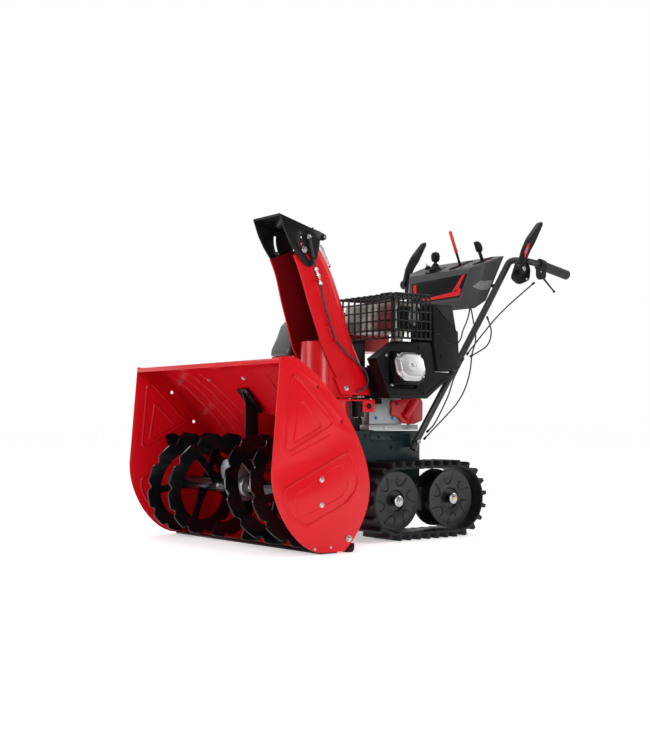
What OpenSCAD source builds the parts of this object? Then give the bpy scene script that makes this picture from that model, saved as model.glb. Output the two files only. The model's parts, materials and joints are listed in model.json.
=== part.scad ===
// Tracked two-stage snow thrower, life size, in millimetres.
// The machine faces -Y, its left side is +X, up is +Z; the ground is Z = 0.

/* [Auger housing] */
// Clear width between the side plates
clear_w = 826; // [700:2:950]
// Side plate and shell thickness
sheet = 3; // [2:0.5:5]
// Radius of the auger flights
auger_r = 166; // [150:1:170]
// Radius of the impeller drum, inside
drum_r = 178; // [160:1:182]

/* [Chute] */
// Sideways offset of the chute axis from the middle
chute_x = 70; // [0:1:90]
// Radius of the chute's tube
tube_r = 77; // [70:1:80]

/* [Tracks] */
// Outer width across the tracks
track_w = 516; // [480:2:540]
// Belt width
belt_w = 133; // [110:1:135]
// Height over the treads
track_h = 254; // [240:2:260]

/* [Engine] */
// Height of the crankshaft
crank_z = 478; // [470:1:490]

/* [Hidden] */
$fn = 48;

aug_y = -502; aug_z = 179;            // auger axis
imp_z = 230;                          // impeller axis
plate_x = clear_w / 2;
chute_y = -228; ring_z = 458;         // chute axis and the neck's top
hood_y = -285; hood_z = 962;          // hood hinge
axle_y = -66; axle_z = track_h / 2;   // drive axle
idler_y = 172;
tail_y = 190;                         // centre of the belt's rear bend
teeth_w = 18; worm_p = 12; worm_r = 16.62;
gear_m = 3; ring_n = 60; pin_n = 12;
pin_x = 124; pin_y = -134.47;         // chute pinion axis, 108 from the chute axis
stick_x = -58;                        // chute joystick

// ---------- helpers ----------
function bez(a, b, c, d, n) = [for (i = [0:n]) let (t = i / n, u = 1 - t)
  u * u * u * a + 3 * u * u * t * b + 3 * u * t * t * c + t * t * t * d];
function unit(v) = v / norm(v);
function ring(r, n, a0 = 0) = [for (i = [0:n - 1]) [r * cos(a0 + 360 * i / n), r * sin(a0 + 360 * i / n)]];
function tail(p) = [for (i = [1:len(p) - 1]) p[i]];
// points moved sideways by d, to the left of their direction of travel
function side(p, d) = [for (i = [0:len(p) - 1]) let (a = p[max(i - 1, 0)], b = p[min(i + 1, len(p) - 1)],
  u = unit(b - a)) p[i] + d * [-u[1], u[0]]];
function rev(p) = [for (i = [len(p) - 1:-1:0]) p[i]];
// a Y-Z profile extruded along X from x0 to x1
module prof(pts, x0, x1) translate([x0, 0, 0]) rotate([90, 0, 90]) linear_extrude(x1 - x0) polygon(pts);
module xcyl(r, x0, x1, y, z) translate([x0, y, z]) rotate([0, 90, 0]) cylinder(r = r, h = x1 - x0);
module ycyl(r, y0, y1, x, z) translate([x, y0, z]) rotate([-90, 0, 0]) cylinder(r = r, h = y1 - y0);
module bx(a, b) translate(a) cube(b - a);
module rod(a, b, r) let (d = b - a) translate(a)
  rotate([0, acos(d[2] / norm(d)), atan2(d[1], d[0])]) cylinder(r = r, h = norm(d));
// closed loft through rings of equal length
module loft(rings) {
  m = len(rings[0]); n = len(rings);
  polyhedron([for (r = rings) for (p = r) p], concat(
    [[for (j = [0:m - 1]) j]], [[for (j = [m - 1:-1:0]) (n - 1) * m + j]],
    [for (i = [0:n - 2]) for (j = [0:m - 1]) let (k = (j + 1) % m) each
      [[i * m + j, (i + 1) * m + j, i * m + k], [i * m + k, (i + 1) * m + j, (i + 1) * m + k]]]));
}
// tube along a smooth path through the given points
function cat(p, i, t) = let (n = len(p) - 1, a = p[max(i - 1, 0)], b = p[i], c = p[min(i + 1, n)],
  d = p[min(i + 2, n)]) 0.5 * (2 * b + (c - a) * t + (2 * a - 5 * b + 4 * c - d) * t * t
  + (3 * b - a - 3 * c + d) * t * t * t);
function path(p, k) = concat([for (i = [0:len(p) - 2]) for (j = [0:k - 1]) cat(p, i, j / k)], [p[len(p) - 1]]);
module cord(p, r, k = 2) {
  q = path(p, k); n = len(q) - 1;
  loft([for (i = [0:n]) let (t = unit(q[min(i + 1, n)] - q[max(i - 1, 0)]), u = unit(cross(t, [1, 0.13, 0])),
    v = cross(t, u)) [for (a = [0:45:315]) q[i] + r * (cos(a) * u + sin(a) * v)]]);
}
module gear2d(z, m, bore) difference() {
  polygon([for (i = [0:z - 1]) for (k = [[-0.30, -1.25], [-0.14, 1], [0.14, 1], [0.30, -1.25]])
    let (a = 360 / z * (i + k[0]), r = z * m / 2 + k[1] * m) [r * cos(a), r * sin(a)]]);
  circle(r = bore);
}

// ---------- auger housing ----------
back_hi = bez([-582, 559], [-430, 470], [-323, 300], [-323, 185], 16);
back_lo = bez([-323, 185], [-323, 110], [-375, 40], [-417, 5], 12);
front_lo = bez([-497, 5], [-590, 10], [-678, 140], [-674, 240], 12);
outline = concat([[-644, 562]], back_hi, tail(back_lo), front_lo);
wrap = concat([[-643, 561]], back_hi, tail(back_lo), [[-470, 5]]);
shell_out = side(wrap, -2);
shell_in = side(wrap, -2 - sheet);
upper_pad = [[-599, 515], [-582, 507], [-461, 391], [-454, 380], [-468, 365], [-616, 290], [-633, 302], [-613, 498]];
lower_pad = [[-406, 295], [-387, 278], [-365, 225], [-366, 185], [-410, 140], [-536, 88], [-557, 80], [-609, 105],
  [-633, 148], [-637, 182], [-627, 198]];

module auger_housing() color("firebrick") difference() {
  union() {
    prof(concat(shell_out, rev(shell_in)), -plate_x, plate_x);
    prof([[-646, 545], [-643, 545], [-643, 558], [-646, 558]], -plate_x, plate_x);
  }
  ycyl(drum_r, -480, -200, 0, imp_z);
}
module side_plate(s) color("red") difference() {
  union() {
    prof(outline, s > 0 ? plate_x : -plate_x - sheet, s > 0 ? plate_x + sheet : -plate_x);
    for (pad = [upper_pad, lower_pad])
      prof(pad, s > 0 ? plate_x + sheet : -plate_x - sheet - 2, s > 0 ? plate_x + sheet + 2 : -plate_x - sheet);
  }
  for (p = [[-513, 480], [-427, 381]]) xcyl(5.5, s * plate_x - 20, s * plate_x + 20, p[0], p[1]);
}
module side_plates() { side_plate(1); side_plate(-1); }
module impeller_drum() color("firebrick") difference() {
  union() {
    ycyl(drum_r + 3, -440, -212, 0, imp_z);
    translate([chute_x, chute_y, 300]) cylinder(r = tube_r, h = ring_z - 300);
    translate([chute_x, chute_y, ring_z - 4]) cylinder(r = tube_r + 7, h = 4);
    // shelf for the chute motor, with its side tab
    translate([chute_x, chute_y, 447]) cylinder(r = 96, h = 5);
    bx([60, -228, 447], [150, -84, 452]);
    bx([147, -134, 412], [150, -84, 452]);
  }
  translate([pin_x, pin_y, 440]) cylinder(r = 22.6, h = 20);
  xcyl(7, 140, 160, -108, 431);
  ycyl(drum_r, -460, -215, 0, imp_z);
  translate([chute_x, chute_y, 303]) cylinder(r = tube_r - 2.5, h = 200);
  prof(concat(shell_out, [[-700, 5], [-700, 561]]), -300, 300);
  ycyl(13, -220, -205, 0, imp_z);
}
// scraper bar under the housing and a skid shoe behind each side plate
module wear_parts() color("black") {
  bx([-410, -500, 0.8], [410, -440, 6]);
  for (s = [-1, 1]) prof([[-405, 0], [-385, 0], [-377, 8], [-377, 26], [-387, 26], [-405, 7]],
    s > 0 ? 388 : -412, s > 0 ? 412 : -388);
}
module housing_bolts() color("silver") for (s = [-1, 1]) {
  for (p = [[-502, 215, 7], [-502, 143, 7], [-402, 41, 9], [-526, 18, 4]])
    xcyl(p[2], s > 0 ? plate_x + sheet + (p[2] == 7 ? 2 : 0) : -plate_x - sheet - 7,
      s > 0 ? plate_x + sheet + 7 : -plate_x - sheet - (p[2] == 7 ? 2 : 0), p[0], p[1]);
}
module auger_bearings() color("gray") for (s = [-1, 1]) difference() {
  xcyl(30, s > 0 ? 399 : -412.6, s > 0 ? 412.6 : -399, aug_y, aug_z);
  xcyl(15.1, s > 0 ? 390 : -420, s > 0 ? 420 : -390, aug_y, aug_z);
}
module gearbox_strut() color("black") {
  prof([[-488, 264.2], [-440, 264.2], [-441, 409], [-503, 481], [-488, 440]], -3, 3);
  prof([[-503, 481], [-441, 408], [-438, 411], [-500, 484]], -28, 28);
}

// ---------- augers, gearbox, impeller ----------
module auger_gearbox() color("silver") difference() {
  union() {
    xcyl(46, -24, 24, aug_y, aug_z);
    xcyl(30, -48, 48, aug_y, aug_z);
    ycyl(34, -556, -446, 0, imp_z);
    bx([-24, aug_y - 34, aug_z], [24, aug_y + 34, imp_z]);
  }
  xcyl(41, -11, 11, aug_y, aug_z);
  ycyl(24, -532, -472, 0, imp_z);
  bx([-11, aug_y - 24, aug_z], [11, aug_y + 24, imp_z]);
  xcyl(15.1, -60, 60, aug_y, aug_z);
  ycyl(12.1, -550, -430, 0, imp_z);
}
// one toothed ribbon flight, from x0 outwards, a full turn and a bit; both sides feed towards the middle
module ribbon(x0, a0) {
  loft([for (i = [0:40]) let (a = a0 + i * 10, x = x0 + sign(x0) * i * 7.4, ro = i % 3 == 2 ? auger_r - 14 : auger_r)
    [for (c = [[118, -3], [118, 3], [ro, 3], [ro, -3]]) [x + c[1], aug_y + c[0] * cos(a), aug_z + c[0] * sin(a)]]]);
}
module auger(s) color("black") union() {
  for (k = [0, 1]) ribbon(s * 84, 70 + 180 * k);
  for (k = [0, 1]) for (i = [6, 18, 30]) let (a = 70 + 180 * k + i * 10, x = s * (84 + i * 7.4))
    translate([x, aug_y, aug_z]) rotate([a, 0, 0]) translate([-4, 20, -12]) cube([8, 112, 24]);
  difference() {
    xcyl(24, s > 0 ? 66 : -386, s > 0 ? 386 : -66, aug_y, aug_z);
    xcyl(14.97, s > 0 ? 50 : -400, s > 0 ? 400 : -50, aug_y, aug_z);
  }
}
module auger_left() auger(1);
module auger_right() auger(-1);
module auger_shaft() color("dimgray") xcyl(14.97, -408, 408, aug_y, aug_z);
module worm_wheel() color("goldenrod") translate([-6, aug_y, aug_z]) rotate([90, 0, 90])
  linear_extrude(12) difference() {
    polygon([for (i = [0:teeth_w - 1]) for (k = [[-3.2, 29.9], [-1.1, 37.6], [1.1, 37.6], [3.2, 29.9]])
      let (a = 90 + 360 / teeth_w * i, r = k[1]) [r * cos(a) - k[0] * sin(a), r * sin(a) + k[0] * cos(a)]]);
    circle(r = 14.97);
  }
module impeller_shaft() color("dimgray") union() {
  ycyl(12, -548, -44, 0, imp_z);
  loft([for (i = [0:72]) let (a = i * 15, y = aug_y - 18 + worm_p * i / 24)
    [for (c = [[12.2, 3.1], [20.1, 1], [20.1, -1], [12.2, -3.1]]) [-c[0] * sin(a), y + c[1], imp_z - c[0] * cos(a)]]]);
}
module impeller() color("black") difference() {
  union() {
    ycyl(26, -345, -222, 0, imp_z);
    for (i = [0:4]) translate([0, 0, imp_z]) rotate([0, 72 * i, 0]) {
      bx([-3, -328, 20], [3, -222, 170]);
      bx([3, -328, 120], [9, -222, 126]);
    }
  }
  ycyl(12, -560, -40, 0, imp_z);
}
module impeller_pulley() color("gray") difference() {
  ycyl(85, -62, -44, 0, imp_z);
  ycyl(12, -90, -30, 0, imp_z);
  translate([0, -53, imp_z]) rotate([-90, 0, 0]) rotate_extrude() polygon([[78, -5], [86, -6.5], [86, 6.5], [78, 5]]);
}

// ---------- chute ----------
module chute_base() color("red") difference() {
  union() {
    translate([chute_x, chute_y, ring_z + 0.6]) linear_extrude(6) gear2d(ring_n, gear_m, tube_r - 2.5);
    translate([chute_x, chute_y, ring_z + 3]) cylinder(r = tube_r, h = 176);
  }
  translate([chute_x, chute_y, 440]) cylinder(r = tube_r - 2.5, h = 300);
  bx([-40, chute_y, 520], [180, chute_y + 100, 660]);
}
// front edge, rear edge and half width of the chute's channel, from the bottom up
chute_secs = [[-222, 466, -84, 466, 81], [-222, 500, -92, 498, 81], [-241, 526, -102, 524, 80.5],
  [-273, 575, -127, 574, 80], [-301, 628, -155, 629, 80.5], [-320, 684, -177, 692, 77],
  [-347, 760, -200, 771, 72], [-374, 846, -236, 862, 67], [-397, 897, -284, 940, 66]];
// ring of one section: outer U then inner U; along is 0 at the front edge, 1 at the back
function chute_ring(s) = let (f = [s[0], s[1]], b = [s[2], s[3]], d = unit(b - f), len0 = norm(b - f), w = s[4],
  r = 42, t = 2.5,
  o = concat([[w, 0]], [for (a = [0:18:90]) [w - r + r * cos(a), len0 - r + r * sin(a)]],
    [for (a = [90:18:180]) [-w + r + r * cos(a), len0 - r + r * sin(a)]], [[-w, 0]]),
  n = concat([[-w + t, 0]], [for (a = [180:-18:90]) [-w + r + (r - t) * cos(a), len0 - r + (r - t) * sin(a)]],
    [for (a = [90:-18:0]) [w - r + (r - t) * cos(a), len0 - r + (r - t) * sin(a)]], [[w - t, 0]]))
  [for (q = concat(o, n)) [chute_x + q[0], f[0] + d[0] * q[1], f[1] + d[1] * q[1]]];
module chute() color("red") difference() {
  union() {
    loft([for (s = chute_secs) chute_ring(s)]);
    for (x = [-36, 24]) prof([[-292, 932], [-276, 928], [-273, 962], [-278, 971], [-288, 972], [-296, 964]],
      chute_x + x, chute_x + x + 12);
    prof([[-250, 872], [-206, 880], [-206, 884], [-254, 884]], chute_x - 4, chute_x + 4);
  }
  xcyl(4.1, chute_x - 60, chute_x + 60, hood_y, hood_z);
}
module chute_bolts() color("silver") {
  for (s = [-1, 1]) xcyl(9, s > 0 ? chute_x + 81.2 : chute_x - 88, s > 0 ? chute_x + 88 : chute_x - 81.2, -203, 488);
  for (s = [-1, 1]) {
    xcyl(4, s > 0 ? chute_x + 66.8 : chute_x - 77, s > 0 ? chute_x + 77 : chute_x - 66.8, -362, 916);
    xcyl(9, s > 0 ? chute_x + 73 : chute_x - 79, s > 0 ? chute_x + 79 : chute_x - 73, -362, 916);
  }
}
slot_r = norm([-362 - hood_y, 916 - hood_z]);
slot_a = atan2(916 - hood_z, -362 - hood_y);
hood_side = [[-456, 1020], [-437, 970], [-415, 932], [-388, 897], [-361, 871], [-345, 863], [-330, 868], [-313, 890],
  [-304, 925], [-300, 950], [-285, 951], [-277, 958], [-277, 966], [-285, 973], [-330, 985]];
module hood() color("black") difference() {
  union() {
    for (s = [-1, 1]) prof(hood_side, s > 0 ? chute_x + 69 : chute_x - 72, s > 0 ? chute_x + 72 : chute_x - 69);
    prof([[-456, 1020], [-454, 1016], [-330, 981], [-298, 975], [-298, 978], [-330, 985]], chute_x - 72, chute_x + 72);
    xcyl(4, chute_x - 72, chute_x + 72, hood_y, hood_z);
    for (x = [-60, -12, 42]) prof([[-330, 985], [-298, 978], [-281, 966], [-281, 958], [-289, 958], [-300, 975], [-330, 981]],
      chute_x + x, chute_x + x + 18);
    prof([[-289, 966], [-289, 958], [-280, 956], [-248, 966], [-249, 972], [-281, 968]], chute_x - 12, chute_x + 6);
  }
  translate([-50, hood_y, hood_z]) rotate([90, 0, 90]) linear_extrude(300) polygon(concat(
    [for (a = [-38:4:26]) (slot_r - 4.6) * [cos(slot_a + a), sin(slot_a + a)]],
    [for (a = [26:-4:-38]) (slot_r + 4.6) * [cos(slot_a + a), sin(slot_a + a)]]));
}
module hood_spring() color("silver") rod([chute_x, -251, 962], [chute_x, -212, 887], 6);
module chute_cable() color("darkslategray") cord([[155, -350, 950], [155, -330, 870], [155, -310, 820],
  [155, -295, 760], [155, -270, 690], [160, -250, 640], [160, -210, 600], [160, -165, 570],
  [160, -130, 540], [160, -120, 510], [160, -130, 490], [160, -165, 475]], 4, 3);
// the five control cables between the console, the left grip and the chassis
module control_cables() color("black") {
  cord([[300, 505, 860], [260, 380, 750], [230, 280, 635], [225, 255, 605]], 2.6, 1);
  cord([[230, 345, 740], [235, 360, 695], [235, 355, 660], [235, 335, 635], [230, 300, 615],
    [225, 270, 600]], 2.6, 2);
  cord([[130, 360, 795], [140, 350, 765], [160, 320, 730], [180, 280, 690], [190, 260, 660],
    [185, 240, 635]], 2.6, 1);
  cord([[120, 370, 795], [140, 360, 765], [165, 345, 725], [190, 330, 690], [210, 310, 650],
    [220, 285, 610], [220, 275, 550], [205, 265, 490], [190, 240, 440], [170, 205, 395],
    [145, 170, 350], [120, 155, 320]], 2.6, 1);
  cord([[220, 245, 595], [220, 230, 570], [215, 205, 525], [205, 190, 470], [190, 170, 415],
    [165, 160, 370], [135, 155, 345]], 2.6, 2);
}
module chute_motor() color("black") difference() {
  union() {
    translate([pin_x, pin_y, 396]) cylinder(r = 20, h = 55);
    translate([pin_x, pin_y, 440]) cylinder(r = 22, h = 10);
  }
  translate([pin_x, pin_y, 441]) cylinder(r = 4.1, h = 20);
}
module chute_pinion() color("gray") {
  translate([pin_x, pin_y, ring_z + 0.6]) rotate([0, 0, 15 + 240]) linear_extrude(6) gear2d(pin_n, gear_m, 0.01);
  translate([pin_x, pin_y, 442]) cylinder(r = 4, h = 18);
}

// ---------- chassis and drive ----------
module chassis() color("darkslategray") difference() {
  union() {
    for (s = [-1, 1]) bx([s > 0 ? 102 : -105, -205, 115], [s > 0 ? 105 : -102, 150, 350]);
    bx([-105, 147, 160], [105, 150, 350]);
    bx([-105, -72, 347], [105, 150, 350]);
    bx([-105, -205, 268], [-60, -196, 350]);
    bx([60, -205, 268], [105, -196, 350]);
    for (s = [-1, 1]) bx([s > 0 ? 105 : -136, 78, 296], [s > 0 ? 136 : -105, 84, 340]);
  }
  xcyl(12.1, -120, 120, axle_y, axle_z);
  translate([chute_x, chute_y, 296]) cylinder(r = tube_r + 1, h = 100);
  bx([-77, -72, 340], [77, -26, 360]);
}
module engine_bed() color("silver") difference() {
  bx([-125, -88, 353], [125, 125, 371]);
  bx([-77, -90, 350], [77, -25, 380]);
  bx([-90, 10, 350], [90, 130, 380]);
}
module transmission() color("dimgray") {
  bx([-80, -30, 165], [80, 130, 300]);
  ycyl(30, -34, -30, 0, 230);
  bx([-40, 20, 300], [40, 90, 330]);
}
// outline of a belt round two circles one above the other
function two_round(z1, r1, z2, r2, n) = let (a = asin((r1 - r2) / (z2 - z1))) concat(
  [for (i = [0:n]) let (t = a - (180 + 2 * a) * i / n) [r1 * cos(t), z1 + r1 * sin(t)]],
  [for (i = [0:n]) let (t = 180 - a - (180 - 2 * a) * i / n) [r2 * cos(t), z2 + r2 * sin(t)]]);
module yprof(pts, y0, y1) translate([0, y1, 0]) rotate([90, 0, 0]) linear_extrude(y1 - y0) polygon(pts);
module belt_case() color("darkslategray") difference() {
  yprof([[-76, 342], [76, 342], [60, 440], [60, 500], [40, 526], [-40, 526], [-60, 500], [-60, 440]], -69.5, -27);
  yprof([[-76, 300], [76, 300], [57, 440], [57, 499], [38, 523], [-38, 523], [-57, 499], [-57, 440]], -67, -30);
  ycyl(13, -40, -20, 0, crank_z);
}
module drive_belt() color("black") difference() {
  yprof(two_round(imp_z, 86, crank_z, 35, 24), -57, -49);
  yprof(two_round(imp_z, 79.5, crank_z, 28.5, 24), -60, -45);
}
module crank_pulley() color("gray") difference() {
  union() {
    ycyl(34, -62, -44, 0, crank_z);
    ycyl(12.9, -44, -2, 0, crank_z);
  }
  translate([0, -53, crank_z]) rotate([-90, 0, 0]) rotate_extrude() polygon([[27, -5], [35, -6.5], [35, 6.5], [27, 5]]);
}

// ---------- engine ----------
tilt = 17;
module along_cylinder() translate([0, -27, crank_z]) rotate([0, -tilt, 0]) children();
module crankcase() color("silver") difference() {
  union() {
    yprof([[-100, 371.4], [117, 371.4], [117, 451], [82.4, 564], [-60, 564], [-100, 520]], -26, 58);
    bx([78, -80, 371.4], [117, -26, 440]);
  }
  ycyl(13, -27, 0, 0, crank_z);
}
module cylinder_block() color("black") along_cylinder() {
  translate([106, -50, -48]) cube([160, 100, 96]);
  for (i = [0:4]) translate([124 + 28 * i, -54, -52]) cube([5, 108, 104]);
}
module head_cover() color("gainsboro") along_cylinder() {
  translate([266.4, 0, 0]) rotate([0, 90, 0]) linear_extrude(20) polygon([[-48, -26], [-22, -60], [24, -60], [48, -34],
    [48, 30], [22, 60], [-26, 60], [-48, 34]]);
  translate([286.4, 0, 0]) rotate([0, 90, 0]) cylinder(r = 13, h = 7);
}
shroud_side = [[-141, 582], [-83, 456], [76, 456], [201, 544], [112, 544], [96, 628], [86, 640], [-49, 640]];
module engine_shroud() color("black") {
  difference() {
    prof(shroud_side, 178, 226);
    along_cylinder() translate([90, -58, -56]) cube([200, 116, 112]);
  }
  bx([-20, -74, 456], [84, -70, 648]);
  bx([132, -88, 456], [177.4, -84.5, 570]);
}
module fan_cover() color("firebrick") difference() {
  union() {
    ycyl(112, 58.4, 130, 0, crank_z);
    ycyl(84, 130, 150, 0, crank_z);
  }
  ycyl(104, 50, 124, 0, crank_z);
  for (i = [0:11]) translate([0, 0, crank_z]) rotate([0, 30 * i, 0]) bx([-5, 100, 44], [5, 160, 74]);
  ycyl(7, 120, 160, 0, crank_z);
}
module recoil_handle() color("black") {
  bx([-42, 152, crank_z - 9], [42, 170, crank_z + 9]);
  ycyl(5, 80, 152, 0, crank_z);
}
module fuel_tank() color("red") difference() {
  bx([-190, -50, 622], [-54, 150, 752]);
  bx([-186, -46, 626], [-58, 146, 748]);
  translate([-122, 60, 740]) cylinder(r = 24, h = 20);
}
module fuel_cap() color("black") {
  translate([-122, 60, 752.4]) cylinder(r = 32, h = 20);
  translate([-122, 60, 735]) cylinder(r = 23.6, h = 17.4);
}
module muffler() color("gray") difference() {
  union() {
    bx([-40, -62, 672], [228, 48, 772]);
    translate([190, -20, 640]) cylinder(r = 16, h = 33);
  }
  bx([-37, -59, 675], [225, 45, 769]);
  translate([190, -20, 630]) cylinder(r = 13, h = 60);
}
function cells(w, h, nx, ny, t) = [for (i = [0:nx - 1]) for (j = [0:ny - 1])
  [t + i * (w - t) / nx, t + j * (h - t) / ny, (w - t) / nx - t, (h - t) / ny - t]];
module lattice(w, h, nx, ny, t) linear_extrude(t) difference() {
  square([w, h]);
  for (c = cells(w, h, nx, ny, t)) translate([c[0], c[1]]) square([c[2], c[3]]);
}
module muffler_guard() color("black") union() {
  translate([-50, -88, 646]) rotate([90, 0, 0]) lattice(300, 149, 11, 5, 5);
  translate([245, -93, 646]) rotate([90, 0, 90]) lattice(170, 149, 6, 5, 5);
  translate([-50, -93, 790]) lattice(300, 170, 11, 3, 5);
}
module air_box() color("black") prof([[93, 770], [183, 769], [201, 686], [210, 683], [216, 562], [206, 548], [115, 548],
  [100, 630]],
  118, 236);
module front_cover() color("red") difference() {
  bx([-225, -232, 470], [-92, -72, 602]);
  bx([-222, -229, 465], [-95, -72.5, 599]);
}
module headlight() color("slategray") prof([[-242, 602.4], [-238, 627], [-217, 665], [-200, 707], [-179, 728],
  [-150, 722], [-130, 602.4]], -222, -110);

// ---------- tracks ----------
span = tail_y - axle_y;
loop_r = axle_z;
lugs = 30;
function loop_len(r) = 2 * span + 2 * PI * r;
// point at share u of the loop, pushed out by h from the belt's outer face
function on_loop(u, r, h) = let (v = (u - floor(u)) * loop_len(r), a1 = span, a2 = span + PI * r, a3 = 2 * span + PI * r)
  v < a1 ? [axle_y + v, axle_z + r + h]
  : v < a2 ? let (t = 90 - (v - a1) / r * 180 / PI) [tail_y + (r + h) * cos(t), axle_z + (r + h) * sin(t)]
  : v < a3 ? [tail_y - (v - a2), axle_z - r - h]
  : let (t = -90 - (v - a3) / r * 180 / PI) [axle_y + (r + h) * cos(t), axle_z + (r + h) * sin(t)];
tread = [for (i = [0:lugs - 1]) for (k = [[0, 0], [0.16, 0], [0.22, 17], [0.5, 17], [0.56, 0], [0.8, 0]])
  on_loop((i + k[0]) / lugs, loop_r - 17, k[1])];
inner_loop = [for (i = [0:71]) on_loop(i / 72, loop_r - 25, 0)];
module track(s) color("black") translate([s > 0 ? track_w / 2 - belt_w : -track_w / 2, 0, 0]) rotate([90, 0, 90])
  linear_extrude(belt_w) difference() {
    polygon(tread);
    polygon(inner_loop);
  }
module track_left() track(1);
module track_right() track(-1);
module wheel(s, y, face_r, pegs) difference() {
  union() {
    xcyl(face_r, s > 0 ? 225 : -236, s > 0 ? 236 : -225, y, axle_z);
    xcyl(70, s > 0 ? 160 : -225, s > 0 ? 225 : -160, y, axle_z);
    xcyl(face_r, s > 0 ? 149 : -160, s > 0 ? 160 : -149, y, axle_z);
    if (pegs) for (i = [0:9]) translate([s > 0 ? 160 : -225, y, axle_z]) rotate([36 * i + 18, 0, 0])
      translate([0, face_r - 16, -8]) cube([65, 21, 16]);
  }
  xcyl(12.1, s > 0 ? 140 : -245, s > 0 ? 245 : -140, y, axle_z);
  xcyl(30, s > 0 ? 228 : -240, s > 0 ? 240 : -228, y, axle_z);
}
module sprocket_left() color("dimgray") wheel(1, axle_y, 96, true);
module sprocket_right() color("dimgray") wheel(-1, axle_y, 96, true);
module idler_left() color("dimgray") wheel(1, idler_y, 96, false);
module idler_right() color("dimgray") wheel(-1, idler_y, 96, false);
module track_frame() color("black") {
  for (s = [-1, 1]) {
    bx([s > 0 ? 128 : -138, axle_y - 24, 104], [s > 0 ? 138 : -128, idler_y + 24, 150]);
    bx([s > 0 ? 138 : -215, 38, 92], [s > 0 ? 215 : -138, 68, 166]);
    xcyl(12, s > 0 ? 138 : -244, s > 0 ? 244 : -138, idler_y, axle_z);
    xcyl(18, s > 0 ? 237 : -248, s > 0 ? 248 : -237, idler_y, axle_z);
    xcyl(18, s > 0 ? 237 : -248, s > 0 ? 248 : -237, axle_y, axle_z);
  }
  xcyl(12, -244, 244, axle_y, axle_z);
  xcyl(10, -130, 130, idler_y, axle_z);
}

// ---------- handlebars and console ----------
// tube through the points p, each corner rounded over the length b on either side of it
function bent(p, b, n) = concat([p[0]], [for (i = [1:len(p) - 2]) let (u = p[i] + b * unit(p[i - 1] - p[i]),
  v = p[i] + b * unit(p[i + 1] - p[i])) each [for (k = [0:n]) let (t = k / n)
  (1 - t) * (1 - t) * u + 2 * t * (1 - t) * p[i] + t * t * v]], [p[len(p) - 1]]);
module tube(q, r, m) {
  n = len(q) - 1;
  loft([for (i = [0:n]) let (t = unit(q[min(i + 1, n)] - q[max(i - 1, 0)]), u = unit(cross(t, [1, 0.1, 0])),
    v = cross(t, u)) [for (k = [0:m - 1]) let (a = 360 * k / m) q[i] + r * (cos(a) * u + sin(a) * v)]]);
}
bar = [[150, 80, 288], [150, 94, 313], [200, 262, 616], [215, 356, 770], [234, 452, 938], [266, 486, 938],
  [300, 516, 926], [300, 668, 897]];
function flip(p) = [for (q = p) [-q[0], q[1], q[2]]];
module handlebars() color("dimgray") for (s = [-1, 1]) {
  tube(bent(s > 0 ? bar : flip(bar), 12, 3), 11.5, 12);
  rod([s * 138, 92, 313], [s * 166, 92, 313], 8);
  rod([s * 226, 402, 850], [s * 198.5, 402, 850], 6);
  prof([[415, 870], [440, 930], [488, 945], [506, 905], [500, 868], [450, 850]], s > 0 ? 270 : -283, s > 0 ? 283 : -270);
  xcyl(4.95, s > 0 ? 276 : -316, s > 0 ? 316 : -276, 438, 901);
  if (s > 0) prof([[500, 880], [548, 880], [548, 905], [530, 918], [500, 912]], 309.5, 313);
}
module grips() color("black") for (s = [-1, 1]) difference() {
  rod([s * 300, 550, 919.51], [s * 300, 673, 896.05], 17);
  rod([s * 300, 516, 926], [s * 300, 668, 897], 11.6);
}
function console_pts(d) = [[157 - d, 337 + d, 910], [196 - d, 372 + d, 926], [203 - d, 452 - d, 956], [150 - d, 470 - d, 962],
  [133 - d, 316 + d, 800], [176 - d, 338 + d, 772], [188 - d, 380 - d, 800], [130 - d, 400 - d, 790]];
module console_body(d, dz) hull() for (s = [-1, 1]) for (p = console_pts(d))
  translate([s * p[0] - 1, p[1] - 1, p[2] + dz - 1]) cube(2);
module console() color("dimgray") {
  difference() {
    console_body(0, 0);
    console_body(5, -5);
    bx([stick_x - 32, 340, 890], [stick_x + 32, 404, 960]);
    bx([41, 350, 880], [59, 440, 980]);
    bx([134, 380, 880], [152, 450, 980]);
  }
  bx([stick_x - 40, 334, 880], [stick_x + 40, 410, 884]);
}
module paddle(s) difference() {
  union() {
    xcyl(17, s > 0 ? 286 : -312, s > 0 ? 312 : -286, 438, 901);
    prof([[430, 915], [446, 908], [478, 965], [498, 990], [540, 1060], [537, 1072], [524, 1068], [470, 1010],
      [444, 965]], s > 0 ? 288 : -310, s > 0 ? 310 : -288);
  }
  xcyl(5, s > 0 ? 280 : -320, s > 0 ? 320 : -280, 438, 901);
}
module paddle_left() color("black") paddle(1);
module paddle_right() color("black") paddle(-1);
module height_trigger() color("black") {
  xcyl(8, 292, 308, 536, 890);
  rod([300, 540, 884], [300, 606, 832], 4);
}
module joystick() color("black") {
  translate([stick_x, 372, 905]) sphere(14);
  rod([stick_x, 372, 905], [stick_x, 372, 962], 6);
  translate([stick_x, 372, 976]) sphere(17);
  ycyl(3, 350, 394, stick_x, 905);
}
module joystick_gimbal() color("gray") difference() {
  union() {
    bx([stick_x - 22, 350, 900], [stick_x + 22, 394, 910]);
    xcyl(4, stick_x - 28, stick_x + 28, 372, 905);
  }
  bx([stick_x - 16, 356, 890], [stick_x + 16, 388, 920]);
  ycyl(3.05, 340, 400, stick_x, 905);
}
module speed_lever() color("red") {
  xcyl(9, 43, 57, 408.6, 896);
  rod([50, 408.6, 896], [50, 342, 1053], 6);
}
module shift_lever() color("black") {
  xcyl(9, 136, 150, 433.5, 898);
  rod([143, 433.5, 898], [143, 392, 981], 6);
  prof([[384, 980], [402, 972], [406, 986], [388, 1010], [374, 1008]], 133, 153);
}

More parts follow.
